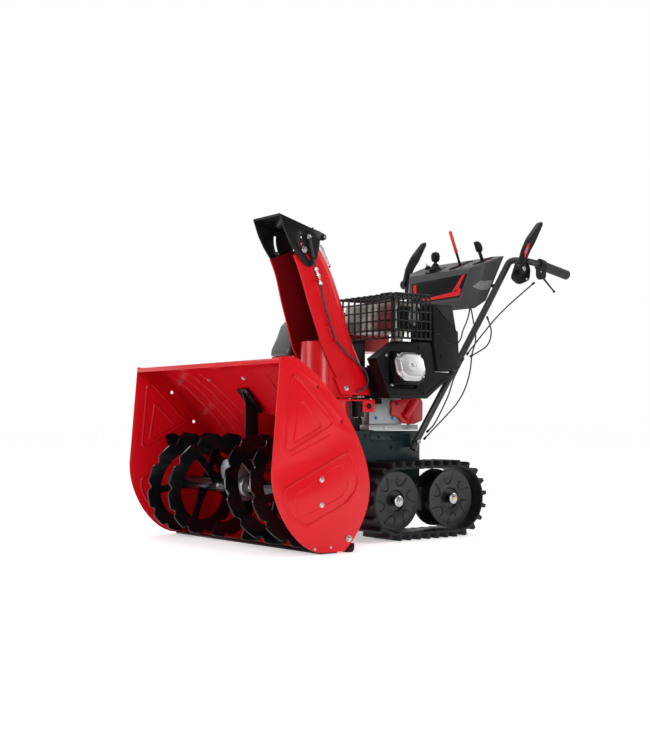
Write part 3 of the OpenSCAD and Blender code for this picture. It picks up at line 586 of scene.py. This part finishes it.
# guide clip for the cable, over the roof's rear
Hd.tube(smooth([(cx + 40, -312, 985), (cx + 42, -306, 992), (cx + 30, -298, 994), (cx + 6, -292, 992),
                (cx - 6, -286, 984)], 5), 2.6, BLK_SAT, 8)
Hd.make("hood_fittings", "hood")

Sp = Mesh()
a, b = V((cx, -249, 958)), V((cx, -213, 888))
d = (b - a).normalized()
u = d.orthogonal().normalized()
w = d.cross(u)
coil = []
TURNS, STEPS = 17, 14
for i in range(TURNS * STEPS + 1):
    t = i / (TURNS * STEPS)
    rr = 5.0 * (1 if 0.03 < t < 0.97 else 0.7)
    out = u * cos(2 * pi * i / STEPS) + w * sin(2 * pi * i / STEPS)
    coil.append(tuple(a + d * ((b - a).length * (0.14 + 0.80 * t)) + out * rr))
Sp.tube(coil, 1.0, ZINC, 8)
Sp.tube([tuple(a + d * 5), tuple(a + d * 11)], 1.0, ZINC, 8)
Sp.tube([tuple(b - d * 5), tuple(b + d * 2)], 1.2, ZINC, 8)
Sp.make("hood_spring_look", "chute", ["hood_spring"], angle=60)

K = Mesh()
route = smooth([(155, -350, 950), (155, -330, 870), (155, -310, 820), (155, -295, 760), (155, -270, 690),
                (160, -250, 640), (160, -210, 600), (160, -165, 570), (160, -130, 540), (160, -120, 510),
                (160, -130, 490), (160, -165, 475)], 8)
K.tube(route, 3.2, CABLE, 12)
def at_height(z):
    return min(route, key=lambda p: abs(p[2] - z))
up = [p for p in route if p[2] > 868]
K.tube(up, lambda t: 5.0 - 1.2 * t, CABLE_B, 14)
for i in range(7):
    q = at_height(945 - i * 10)
    K.rod((q[0], q[1] - 0.3, q[2] - 2), (q[0], q[1] + 0.3, q[2] + 2), 5.6, CABLE_B, 16, 0.8)
mid = [p for p in route if 806 < p[2] < 866]
K.tube(mid, 4.2, ZINC, 12)
for z in (856, 838, 816):
    q = at_height(z)
    K.ngon(6, 7, (q[0], q[1] - 1, q[2] - 4), (q[0], q[1] + 1, q[2] + 4), ZINC)
q = at_height(826)
K.box((138, q[1] - 12, q[2] - 3), (160, q[1] + 14, q[2] + 1), RED)
for z in (688, 640):
    q = at_height(z)
    K.prism([(q[1] - 8, q[2] - 5), (q[1] + 12, q[2] - 1), (q[1] + 12, q[2] + 4), (q[1] - 8, q[2])], 146,
            163, RED)
K.make("chute_cable_look", "chute", ["chute_cable"], angle=50)

refine("chute_motor", BLK_PLA, 1.5)
refine("chute_pinion", STEEL, 0.3)
M = Mesh()
for a in (30, 150, 270):
    M.bolt((124 + 13 * cos(rad(a)), -134.5 + 13 * sin(rad(a)), 396), (0, 0, -1), 3.2, ZINC)
M.rod((150, -108, 431), (152.2, -108, 431), 9, BLK_PLA, 24, 0.6)
M.lathe([(5, 0), (8, 0), (8, 3), (5, 3)], (147.5, -108, 431), (1, 0, 0), BLK_PLA, 24)
M.bolt((138, -92, 452), (0, 0, 1), 4.5, ZINC)
M.bolt((138, -180, 452), (0, 0, 1), 4.5, ZINC)
M.make("chute_drive_fittings", "chassis", bevel=0.2)

# ---------- chassis and drive ----------
refine("chassis", TEAL, 1.2)
refine("engine_bed", SILVER, 1.2)
refine("transmission", ALU, 4)
refine("belt_case", TEAL, 1.5)
refine("drive_belt", RUBBER, 0.6)
D = Mesh()
for (y, z, r) in ((-33, 330, 5), (23, 329, 5), (94, 329, 5), (23, 296, 5), (-88, 334, 5), (-126, 334, 5),
                  (-59, 320, 4)):
    for sg in (1, -1):
        D.bolt((sg * 105, y, z), (sg, 0, 0), r, BLK_SAT)
for sg in (1, -1):
    D.prism([(-63, 318), (136, 318), (141, 323), (141, 346), (-63, 346), (-68, 341), (-68, 323)], sg * 105,
            sg * 107.5, TEAL)
D.bolt((125, -20, 362), (1, 0, 0), 5.5, ZINC)
D.bolt((-125, -20, 362), (-1, 0, 0), 5.5, ZINC)
for x in (-105, 105):
    for y in (-60, 100):
        D.bolt((x, y, 371), (0, 0, 1), 5, ZINC)
D.make("chassis_fittings", "chassis", bevel=0.5)

# ---------- engine ----------
refine("crankcase", ALU, 4)
refine("cylinder_block", BLK_SAT, 0.8)
refine("fan_cover", ENG_RED, 3)
refine("recoil_handle", BLK_PLA, 3)
refine("fuel_tank", ENG_RED, 12, seg=4)
refine("fuel_cap", BLK_PLA, 2.5)
refine("front_cover", RED, 6, seg=3)
refine("headlight", LAMP, 9, seg=4)
refine("engine_shroud", BLK_PLA, 7, seg=3)

def tilt(p):
    """a point of the slanted cylinder, whose axis leans 17 degrees, put into the frame"""
    a = rad(-17)
    return (p[0] * cos(a) + p[2] * sin(a), p[1] - 27, 478 - p[0] * sin(a) + p[2] * cos(a))
E = Mesh()
octo = [(-48, -26), (-22, -60), (24, -60), (48, -34), (48, 30), (22, 60), (-26, 60), (-48, 34)]
r0 = rounded([(b_, a_) for a_, b_ in octo], 9, 5)
def at(ring, h):
    return [tilt((h, q[0], -q[1])) for q in ring]
E.loft(layers(r0, ((266.4, 1), (267.4, 0), (271, 0), (272, 1.6), (273.5, 5), (283, 9), (285.8, 12),
                   (286.4, 15)),
              at), ALU_B)
dn = V(tilt((1, 0, 0))) - V(tilt((0, 0, 0)))
E.lathe([(19, -0.4), (17, 1.6), (12.5, 1.6), (11.6, 0.6), (0.1, 0.6)], tilt((286.2, 0, 0)), dn, ALU_B, 40)
E.bolt(tilt((286.4, 0, 0)), tuple(dn), 6.5, ZINC)
for c in ((-36, -34), (-36, 36), (38, -36), (38, 38)):
    E.bolt(tilt((271.5, c[1] * 1.28, c[0] * 0.98)), tuple(dn), 3.4, ZINC, False)
E.make("head_cover_look", "chassis", ["head_cover"], angle=28)

A = Mesh()
side_o = [(93, 770), (183, 769), (201, 686), (210, 683), (216, 562), (206, 548), (115, 548), (100, 630)]
r0 = rounded(side_o, [9, 12, 5, 5, 5, 4, 7, 10], 5)
A.loft(layers(r0, ((118, 0), (225, 0), (231, 1.6), (234.5, 4.5), (236, 8.5))), BLK_PLA)
# seam between the two halves of the cover, and the latch pocket
A.tube([(236.0, 104, 668), (236.2, 120, 668), (236.2, 134, 656), (236.2, 146, 641), (236.2, 170, 639),
        (236.2, 202, 639)], 1.1, BLK_SAT, 8)
A.prism([(122, 602), (134, 602), (134, 586), (122, 586)], 235.0, 237.2, BLK_SAT)
A.prism([(126, 598), (130, 598), (130, 590), (126, 590)], 236.5, 238.8, BLK_PLA)
A.make("air_box_look", "chassis", ["air_box"], angle=30)

F = Mesh()   # shroud ribs, spark lead, small engine fittings
F.tube([(226.4, -118, 566), (226.4, -76, 478)], 2.2, BLK_PLA, 8)
F.tube([(226.4, -70, 468), (226.4, 70, 468), (226.4, 160, 524)], 2.2, BLK_PLA, 8)
F.tube(smooth([(222, -60, 596), (232, -52, 588), (240, -48, 566), (236, -60, 540)], 6), 3.4, CABLE_B, 10)
F.rod((226, -100, 592), (229, -100, 592), 4.5, ZINC, 20, 0.5)
F.bolt((226, 62, 472), (1, 0, 0), 4.2, BLK_SAT)
F.bolt((226, -74, 500), (1, 0, 0), 4.2, ZINC)
F.bolt((226, 40, 622), (1, 0, 0), 4.2, BLK_SAT)
F.rod((100, -60, 438), (100, -60, 456), 9, ZINC, 20, 1)
F.bolt((117, -52, 392), (1, 0, 0), 5, BLUE)
F.bolt((117, 20, 392), (1, 0, 0), 5, BLUE)
F.rod((60, -70, 448), (110, -70, 448), 10, TEAL, 20, 2)
F.make("engine_fittings", "chassis", bevel=0.3)
Q = Mesh()   # red cowl beside the crankcase, with its drain tube
cowl = rounded([(10, 400), (10, 450), (135, 462), (148, 450), (148, 385), (110, 372), (60, 374), (40, 395)],
               8, 5)
Q.loft(layers(cowl, ((117, 0), (123, 0), (125, 3))), ENG_RED)
Q.rod((128, 62, 392), (128, 112, 458), 13, ENG_RED, 28, 3)
Q.bolt((125, 30, 440), (1, 0, 0), 4, BLK_SAT)
Q.make("engine_cowl", "chassis", bevel=0.4)

G = Mesh()   # muffler
mr = rounded([(-40, 672), (228, 672), (228, 772), (-40, 772)], 22, 8)
def along(ring, y):
    return [(q[0], y, q[1]) for q in ring]
G.loft(layers(mr, ((-62, 10), (-59, 3), (-52, 0), (-9, 0), (-8.5, -0.01)), along), STEEL)
G.loft(layers(mr, ((-6, 0), (38, 0), (45, 3), (48, 10)), along), STEEL)
G.loft(layers(mr, ((-9, 1.5), (-5, 1.5)), along), ZINC)
G.rod((190, -20, 640), (190, -20, 674), 16, STEEL, 30, 1)
ov = [(22 * cos(2 * pi * k / 32), 722 + 30 * sin(2 * pi * k / 32)) for k in range(32)]
G.prism(rounded([(-56, 678), (42, 678), (42, 752), (-56, 752)], 12), 227.8, 229.8, BLK_SAT)
G.prism([(q[0] + 12, q[1]) for q in ov], 227.5, 232.5, ZINC)
for y in (-44, 34):
    G.bolt((229.8, y, 688), (1, 0, 0), 4, BLK_SAT)
G.make("muffler_look", "chassis", ["muffler"], angle=32)

W = Mesh()   # guard: bent bars with rounded shoulders
x0, x1, y0, y1, z0, z1 = -50, 250, -93, 79, 646, 795
r = 3.4
def shoulder(p, q, c, rad_):
    """from p round the corner c to q"""
    p, q, c = V(p), V(q), V(c)
    a = c + (p - c).normalized() * rad_
    b = c + (q - c).normalized() * rad_
    return [tuple(p)] + [tuple(a * (1 - t) ** 2 + c * 2 * t * (1 - t) + b * t * t)
                         for t in [i / 6 for i in range(7)]] + [tuple(q)]
for i in range(10):
    x = x0 + r + 4 + i * (x1 - x0 - 2 * r - 8) / 9
    W.tube(shoulder((x, y0 + r, z0), (x, y1 - r, z1 - r), (x, y0 + r, z1 - r), 20), r,
           BLK_GLOSS if i % 9 else BLK_SAT, 10)
for i in range(9):
    y = y0 + r + 6 + i * (y1 - y0 - 2 * r - 12) / 8
    W.tube(shoulder((x1 - r, y, z0), (x1 - 70, y, z1 - r), (x1 - r, y, z1 - r), 18), r, BLK_GLOSS, 10)
for k, z in enumerate((z0 + 3.2, 676, 706, 736, 764)):
    rr = 3.4 if k == 0 else 2.9
    pts = [(x0 + r, y0 + rr + 1, z)] + shoulder((x0 + 40, y0 + rr + 1, z), (x1 - rr - 1, y1 - 4, z),
                                                (x1 - rr - 1, y0 + rr + 1, z), 16)
    W.tube(pts, rr, BLK_GLOSS, 10)
for y in (y0 + 34, y0 + 78, y0 + 122, y1 - 4):
    W.tube([(x0 + r, y, z1 - r - 1), (x1 - 22, y, z1 - r - 1)], 2.2, BLK_GLOSS, 10)
W.tube(shoulder((x0 + 4, y0 + 5, z0), (x0 + 4, y1 - 4, z1 - 5), (x0 + 4, y0 + 5, z1 - 5), 26), 4, BLK_SAT, 12)
W.make("muffler_guard_look", "chassis", ["muffler_guard"], angle=40)

# ---------- tracks ----------
SPAN, TURN_R, LUG_R = 256, 110, 103.2      # straight run, mean radius of the turns, radius of the lugs' roots
HALF_TURN = pi * TURN_R
BELT = 2 * SPAN + 2 * pi * TURN_R
REAR_Y, LUGS = SPROCKET_Y + SPAN, 30
for s_, nm in ((1, "left"), (-1, "right")):
    refine("track_" + nm, RUBBER, 2.2, seg=2)
    N = Mesh()
    for i in range(LUGS):
        u = (i + 0.36) / LUGS * BELT
        if u < SPAN:
            y, z, a = SPROCKET_Y + u, AXLE_Z + LUG_R, 90
        elif u < SPAN + HALF_TURN:
            a = 90 - (u - SPAN) / TURN_R * 180 / pi
            y, z = REAR_Y + LUG_R * cos(rad(a)), AXLE_Z + LUG_R * sin(rad(a))
        elif u < 2 * SPAN + HALF_TURN:
            y, z, a = REAR_Y - (u - (SPAN + HALF_TURN)), AXLE_Z - LUG_R, -90
        else:
            a = -90 - (u - (2 * SPAN + HALF_TURN)) / TURN_R * 180 / pi
            y, z = SPROCKET_Y + LUG_R * cos(rad(a)), AXLE_Z + LUG_R * sin(rad(a))
        n = V((0, cos(rad(a)), sin(rad(a))))
        t = V((0, -sin(rad(a)), cos(rad(a))))
        c = V((0, y, z))
        # drive lugs on the belt's inside
        for xa, xb in ((s_ * 240, s_ * 255), (s_ * 128, s_ * 143)):
            N.loft([[tuple(c + t * p + n * h + V((x, 0, 0))) for p,
                     h in ((-7, 0), (-5, -2.6), (5, -2.6), (7, 0))] for x in (xa, xb)], RUBBER)
    N.make("track_lugs_" + nm, "track_frame", angle=30)

def wheel_look(s_, nm, yc, kind):
    Wm = Mesh()
    R0 = 95.5
    f = lambda h: (s_ * h, yc, AXLE_Z)
    d = (s_, 0, 0)
    # outer disc: dished, with a rolled rim
    Wm.lathe([(12.4, 0), (31, 0), (33, 1.5), (36, 6.6), (40, 7.8), (66, 8.4), (84, 7.2), (90, 9.6),
              (94, 10.4), (R0, 8.6), (R0, 1), (R0 - 2, 0), (12.4, -0.5)],
             f(225.4), d, WHEEL, 72, closed=True)
    Wm.lathe([(12.4, 0), (R0 - 2, 0), (R0, 1.5), (R0, 9.5), (R0 - 2, 10.8), (12.4, 10.8)], f(149.2), d,
             WHEEL, 72, closed=True)
    Wm.lathe([(12.4, 0), (69, 0), (69, 64.6), (12.4, 64.6)], f(160.2), d, WHEEL, 60, closed=True)
    # pressed hook-shaped ribs
    for k in range(6):
        a0 = 60 * k + (12 if kind == "sprocket" else 38)
        hook = [(88, -16), (66, -13), (53, -6), (49, 6), (60, 15), (74, 13)]
        pts = [(q[0] * cos(rad(a0 + q[1])), q[0] * sin(rad(a0 + q[1]))) for q in hook]
        line = smooth([(s_ * 233.0, yc + p[0], AXLE_Z + p[1]) for p in pts], 6)
        Wm.tube(line, lambda t: 0.6 + 2.1 * sin(pi * min(1, max(0, t))) ** 0.3, BLK_SAT, 10)
    Wm.tube([(s_ * 231.5, yc + 37 * cos(2 * pi * k / 48), AXLE_Z + 37 * sin(2 * pi * k / 48))
             for k in range(48)], 1.7, WHEEL, 10, closed=True, caps=False)
    if kind == "sprocket":
        for i in range(10):
            a = rad(36 * i + 18)
            n = V((0, cos(a), sin(a)))
            t = V((0, -sin(a), cos(a)))
            c = V((0, yc, AXLE_Z))
            Wm.loft([[tuple(c + n * p + t * q + V((s_ * x, 0, 0))) for p,
                      q in ((74, -9), (96, -8), (100.6, -5), (100.6, 5), (96, 8), (74, 9))]
                     for x in (161, 224.5)], WHEEL)
    Wm.make(kind + "_" + nm + "_look", kind + "_" + nm, [kind + "_" + nm], angle=32)

for s_, nm in ((1, "left"), (-1, "right")):
    wheel_look(s_, nm, SPROCKET_Y, "sprocket")
    wheel_look(s_, nm, IDLER_Y, "idler")
refine("track_frame", BLK_SAT, 1.5)
Nn = Mesh()
for s_ in (1, -1):
    for yc in (SPROCKET_Y, IDLER_Y):
        Nn.lathe([(6, 0), (17.6, 0), (18, 1), (18, 2.4), (14, 3.6), (13.5, 5.0), (9.0, 5.4)],
                 (s_ * 247.6, yc, AXLE_Z), (s_, 0, 0), ZINC, 36)
        Nn.ngon(6, 11, (s_ * 248, yc, AXLE_Z), (s_ * 255, yc, AXLE_Z), ZINC)
        Nn.rod((s_ * 254, yc, AXLE_Z), (s_ * 257.5, yc, AXLE_Z), 6, BRASS if yc > 0 else ZINC, 20, 0.8)
Nn.make("hub_nuts", "track_frame", bevel=0.5)

# ---------- handlebars, console and controls ----------
def bent(p, b, n):
    """line through p with each corner rounded over the length b"""
    r = [V(p[0])]
    for i in range(1, len(p) - 1):
        q = V(p[i])
        u = q + (V(p[i - 1]) - q).normalized() * b
        w = q + (V(p[i + 1]) - q).normalized() * b
        r += [u * (1 - k / n) ** 2 + q * 2 * (k / n) * (1 - k / n) + w * (k / n) ** 2 for k in range(n + 1)]
    return [tuple(q) for q in r + [V(p[-1])]]

bar = [(150, 80, 288), (150, 94, 313), (200, 262, 616), (215, 356, 770), (234, 452, 938), (266, 486, 938),
       (300, 516, 926), (300, 668, 897)]
Hb = Mesh()
for s_ in (1, -1):
    Hb.tube(bent([(s_ * q[0], q[1], q[2]) for q in bar], 16, 8), 11.4, TUBE, 28)
    Hb.rod((s_ * 138, 92, 313), (s_ * 166, 92, 313), 8, BLK_SAT, 24, 1)
    Hb.bolt((s_ * 166, 92, 313), (s_, 0, 0), 6, ZINC)
    Hb.rod((s_ * 226, 402, 850), (s_ * 198.5, 402, 850), 6, BLK_SAT)
    # lever bracket with the paddle's pin and a bolt
    br = rounded([(415, 870), (440, 930), (488, 945), (506, 905), (500, 868), (450, 850)], 12, 6)
    Hb.loft(layers(br, ((s_ * 270.2, 2), (s_ * 272, 0), (s_ * 281, 0), (s_ * 282.8, 2))), BLK_PLA)
    Hb.rod((s_ * 276, 438, 901), (s_ * 316, 438, 901), 4.95, ZINC, 20, 0.6)
    Hb.rod((s_ * 312.6, 438, 901), (s_ * 315.8, 438, 901), 7.5, ZINC, 24, 0.6)
    Hb.bolt((s_ * 282.8, 486, 872), (s_, 0, 0), 4.6, ZINC)
    # clamp round the grip tube that carries the switch gear
    a_, b_ = V((s_ * 300, 524, 924.5)), V((s_ * 300, 549, 919.7))
    Hb.lathe([(11.6, 0), (18.5, 0), (20, 1.5), (20, 23.5), (18.5, 25), (11.6, 25)], tuple(a_), b_ - a_,
             BLK_PLA, 36)
    if s_ > 0:
        sw = rounded([(500, 880), (512, 868), (540, 872), (548, 880), (548, 905), (530, 918), (500, 912)],
                     6, 5)
        Hb.loft(layers(sw, ((309.6, 0.8), (310.2, 0), (314, 0), (315.4, 1.6))), BLK_PLA)
        Hb.rod((315, 520, 896), (317, 520, 896), 3, ZINC, 16, 0.4)
    # head of the bolt that holds the console to the bar
    Hb.bolt((s_ * 226, 402, 850), (s_, 0, 0), 5, ZINC)
Hb.make("handlebars_look", "chassis", ["handlebars"], angle=40)

Gr = Mesh()
for s_ in (1, -1):
    a_, b_ = V((s_ * 300, 550, 919.1)), V((s_ * 300, 673, 896.1))
    L_ = (b_ - a_).length
    prof = [(11.6, 0), (16.4, 0), (17, 1.2), (17, 4), (15.6, 6)]
    h = 8
    while h < L_ - 12:
        prof += [(15.6, h), (16.5, h + 0.8), (16.5, h + 2.6), (15.6, h + 3.4)]
        h += 5
    prof += [(16.6, L_ - 8), (16.6, L_ - 5), (14, L_ - 1.4), (9, L_)]
    Gr.lathe(prof, tuple(a_), b_ - a_, GRIP, 48)
Gr.make("grips_look", "chassis", ["grips"], angle=40)

refine("console", CONS, 5, angle=14, seg=3)
Co = Mesh()
def front(u, v, off=1.8):
    """a point of the console's front face: u across, v up"""
    w = 133 + 24 * v
    n = V((0, -110, 21)).normalized()
    return tuple(V((w * u, 316 + 21 * v, 800 + 110 * v)) + n * off)
def patch(M, uv, off, m):
    n = V((0, -110, 21)).normalized()
    a_ = [front(u, v, off) for u, v in uv]
    b_ = [tuple(V(q) - n * 1.2) for q in a_]
    M.loft([b_, a_], m)
panel = rounded([(-0.93, 0.74), (0.97, 0.84), (0.92, 0.10), (-0.88, 0.06)], 0.02, 3)
patch(Co, panel, 2.2, DECAL)
patch(Co, [(-0.86, 0.68), (-0.76, 0.69), (-0.73, 0.28), (-0.83, 0.28)], 2.8, DEC_RED)
patch(Co, [(0.82, 0.81), (0.90, 0.82), (0.78, 0.30), (0.66, 0.29), (0.60, 0.30)], 2.8, DEC_RED)
patch(Co, [(-0.30, 0.10), (0.92, 0.16), (0.90, 0.36), (0.84, 0.40), (0.74, 0.36), (0.62, 0.29),
           (-0.28, 0.19)], 2.8, DEC_RED)
patch(Co, [(-0.48, 0.12), (-0.40, 0.12), (-0.40, 0.20), (-0.48, 0.20)], 2.8, DEC_RED)
# pale facet on each flank, in three planes
for s_ in (1, -1):
    for quad, n in (([(166, 338, 846), (188, 359, 866), (184, 352, 835)], (0.65, -0.76, 0.08)),
                    ([(188, 359, 866), (192, 376, 866), (190, 378, 835), (184, 352, 835)],
                     (0.97, -0.23, -0.08)),
                    ([(192, 376, 866), (196, 402, 872), (194, 402, 850), (190, 378, 835)],
                     (0.99, -0.06, -0.07))):
        outer = [V(q) + V(n) * 2.4 for q in quad]
        inner = [q - V(n) * 2 for q in outer]
        Co.loft([[(s_ * q[0], q[1], q[2]) for q in ring] for ring in (inner, outer)], CONS_L)
# joystick boot, lever slots and surround
def top(y):
    return 926 + (y - 372) * 0.375 + 2.2
Co.lathe([(37, -1), (37, 1.5), (35.5, 3), (33.5, 3)], (-58, 372, 927), (0, -0.35, 0.94), BLK_PLA, 40)
for x, ya, yb in ((50, 347, 443), (143, 373, 456)):
    for sx in (-1, 1):
        Co.tube([(x + sx * 11, ya, top(ya)), (x + sx * 11, yb, top(yb))], 1.6, BLK_PLA, 8)
    Co.tube([(x - 10, ya, top(ya)), (x + 10, ya, top(ya))], 1.6, BLK_PLA, 8)
    Co.tube([(x - 10, yb, top(yb)), (x + 10, yb, top(yb))], 1.6, BLK_PLA, 8)
for i, (x, y) in enumerate(((22, 380), (22, 396), (22, 412), (78, 378), (78, 402), (78, 424), (168, 402),
                            (168, 424), (-110, 392), (-110, 420))):
    Co.prism([(x - 5, y - 1.6), (x + 5, y - 1.6), (x + 5, y + 1.6), (x - 5, y + 1.6)], top(y) - 1,
             top(y) + 0.7, DEC_RED if i % 3 == 0 else CONS_L, "z")
Co.rod((-150, 420, 944), (-150, 415, 952), 11, BLK_PLA, 28, 1.5)   # key switch
Co.box((-152, 408, 950), (-148, 422, 964), ZINC)
for x in (-100, 60):                                             # stubs under the console
    Co.rod((x + 40, 350, 796), (x + 40, 350, 784), 7, BLK_PLA, 20, 1)
Co.make("console_fittings", "chassis", bevel=0.3)

J = Mesh()   # joystick: boot rings, stem and knob
for k in range(5):
    J.lathe([(22 - k * 3.1, 0), (24.5 - k * 3.1, 2.2), (22 - k * 3.1, 4.4), (18 - k * 3, 5)],
            (-58, 372, 926 + k * 5.0), (0, 0, 1), GRIP, 36)
J.rod((-58, 372, 905), (-58, 372, 962), 6, BLK_PLA, 20)
J.lathe([(6, 0), (12, 2), (15, 8), (16.2, 18), (15.8, 26), (12, 33), (6, 36), (0.1, 36.4)], (-58, 372, 957),
        (0, 0, 1), BLK_PLA, 36)
J.tube([(-58 + 16.1 * cos(2 * pi * k / 40), 372 + 16.1 * sin(2 * pi * k / 40), 976) for k in range(40)],
       0.8, BLK_PLA, 6, caps=False, closed=True)
J.sphere((-58, 372, 905), 13.8, BLK_PLA)
J.make("joystick_look", "joystick", ["joystick"], angle=45)

Sl = Mesh()
a_, b_ = V((50, 408.6, 896)), V((50, 342, 1053))
Sl.lathe([(8.8, 0), (9, 0.6), (9, 13.4), (8.8, 14)], (43, 408.6, 896), (1, 0, 0), BLK_SAT, 30)
Sl.rod(tuple(a_), tuple(a_.lerp(b_, 0.70)), 4.6, BLK_SAT, 20)
c_ = a_.lerp(b_, 0.52)
Sl.lathe([(5.2, 0), (6, 1), (6.0, 60), (6, (b_ - c_).length - 2.5), (4.5, (b_ - c_).length - 0.6),
          (0.1, (b_ - c_).length)], tuple(c_), b_ - a_, LEVER, 28)
Sl.make("speed_lever_look", "speed_lever", ["speed_lever"], angle=40)

Sh = Mesh()
Sh.lathe([(8.8, 0), (9, 0.6), (9, 13.4), (8.8, 14)], (136, 433.5, 898), (1, 0, 0), BLK_SAT, 30)
Sh.tube(smooth([(143, 433.5, 898), (143, 404, 956), (143, 394, 978)], 6), 6, BLK_PLA, 18)
hd = rounded([(386, 972), (402, 972), (406, 986), (398, 1002), (384, 1010), (372, 1007), (376, 996)], 6, 6)
Sh.loft(layers(hd, ((133.5, 3), (136, 0.6), (143, 0), (150, 0.6), (152.5, 3))), BLK_PLA)
Sh.make("shift_lever_look", "shift_lever", ["shift_lever"], angle=40)

for s_, nm in ((1, "left"), (-1, "right")):
    Pd = Mesh()
    blade = rounded([(430, 915), (446, 908), (478, 965), (498, 990), (540, 1060), (537, 1072), (524, 1068),
                     (470, 1010), (444, 965)],
                    [4, 4, 10, 10, 5, 5, 6, 12, 12], 5)
    Pd.loft(layers(blade, ((s_ * 288, 3.5), (s_ * 291, 0.8), (s_ * 299, 0), (s_ * 307, 0.8),
                           (s_ * 310, 3.5))),
            BLK_PLA)
    Pd.lathe([(5, 0), (15.6, 0), (17, 1.4), (17, 24.6), (15.6, 26), (5, 26)], (s_ * 286, 438, 901),
             (s_, 0, 0), BLK_PLA, 40, closed=True)
    Pd.prism([(446, 938), (462, 966), (470, 992), (458, 984), (444, 958)], s_ * 309, s_ * 310.6,
             DEC_RED if s_ > 0 else YELLOW)
    Pd.prism([(449, 950), (459, 968), (462, 979), (455, 974), (447, 959)], s_ * 310, s_ * 311.2,
             CONS_L if s_ > 0 else DECAL)
    Pd.make("paddle_" + nm + "_look", "paddle_" + nm, ["paddle_" + nm], angle=40)

Tr = Mesh()
Tr.lathe([(7.4, 0), (8, 0.6), (8, 15.4), (7.4, 16)], (292, 536, 890), (1, 0, 0), BLK_PLA, 28)
Tr.tube(smooth([(300, 537, 887), (300, 556, 872), (300, 580, 853), (300, 602, 836)], 6),
        lambda t: 4.0 - 1.2 * t, BLK_PLA, 14)
Tr.sphere((300, 603, 834.6), 4.6, BLK_PLA, 18)
Tr.make("height_trigger_look", "height_trigger", ["height_trigger"], angle=50)
refine("joystick_gimbal", STEEL, 0.5)

Cc = Mesh()
for pts in ([(300, 505, 860), (260, 380, 750), (230, 280, 635), (225, 255, 605)],
            [(230, 345, 740), (235, 360, 695), (235, 355, 660), (235, 335, 635), (230, 300, 615),
             (225, 270, 600)],
            [(130, 360, 795), (140, 350, 765), (160, 320, 730), (180, 280, 690), (190, 260, 660),
             (185, 240, 635)],
            [(120, 370, 795), (140, 360, 765), (165, 345, 725), (190, 330, 690), (210, 310, 650),
             (220, 285, 610),
             (220, 275, 550), (205, 265, 490), (190, 240, 440), (170, 205, 395), (145, 170, 350),
             (120, 155, 320)],
            [(220, 245, 595), (220, 230, 570), (215, 205, 525), (205, 190, 470), (190, 170, 415),
             (165, 160, 370),
             (135, 155, 345)]):
    line = smooth(pts, 8)
    Cc.tube(line, 2.5, CABLE_B, 12)
    for end, nxt in ((line[0], line[3]), (line[-1], line[-4])):
        d_ = (V(nxt) - V(end)).normalized()
        Cc.lathe([(2.6, 0), (3.8, 0.6), (3.8, 11), (2.6, 14)], end, d_, BLK_PLA, 16)
Cc.make("control_cables_look", "chassis", ["control_cables"], angle=50)

# ---------- lights and floor ----------
def area(name, loc, target, size, energy, size_y=None):
    L = bpy.data.lights.new(name, "AREA")
    L.energy = energy
    L.size = size
    if size_y:
        L.shape = "RECTANGLE"
        L.size_y = size_y
    o = bpy.data.objects.new(name, L)
    o.location = loc
    o.rotation_euler = (V(target) - V(loc)).to_track_quat("-Z", "Y").to_euler()
    scene.collection.objects.link(o)
area("key", (4.2, -3.6, 3.0), (0, -0.1, 0.45), 1.4, 85)
area("front", (-2.2, -4.2, 2.2), (0, -0.3, 0.4), 1.8, 60)
area("rim", (2.4, 3.6, 2.6), (0.1, 0, 0.6), 1.6, 26)
area("top", (-0.3, 0.2, 4.2), (0, 0, 0), 2.0, 60)
area("strip", (3.6, -0.6, 0.9), (0.3, 0.0, 0.5), 0.35, 12, 2.0)
me = bpy.data.meshes.new("floor")
me.from_pydata([(-30, -30, 0), (30, -30, 0), (30, 30, 0), (-30, 30, 0)], [], [(0, 1, 2, 3)])
me.materials.append(FLOOR)
fl = bpy.data.objects.new("floor", me)
scene.collection.objects.link(fl)
w = bpy.data.worlds.new("studio")
scene.world = w
w.use_nodes = True
bg = w.node_tree.nodes["Background"]
bg.inputs["Color"].default_value = (1, 1, 1, 1)
wn, wl = w.node_tree.nodes, w.node_tree.links
wt = wn.new("ShaderNodeTexCoord")
wd = wn.new("ShaderNodeVectorMath")
wm = wn.new("ShaderNodeMapRange")
wd.operation = "DOT_PRODUCT"
wd.inputs[1].default_value = (-0.8, 0.6, 0)
wm.inputs["From Min"].default_value = -0.2
wm.inputs["From Max"].default_value = 0.6
wm.inputs["To Min"].default_value = 0.30
wm.inputs["To Max"].default_value = 1.0
wl.new(wt.outputs["Generated"], wd.inputs[0])
wl.new(wd.outputs["Value"], wm.inputs["Value"])
wl.new(wm.outputs["Result"], bg.inputs["Strength"])
scene.view_settings.view_transform = "Standard"
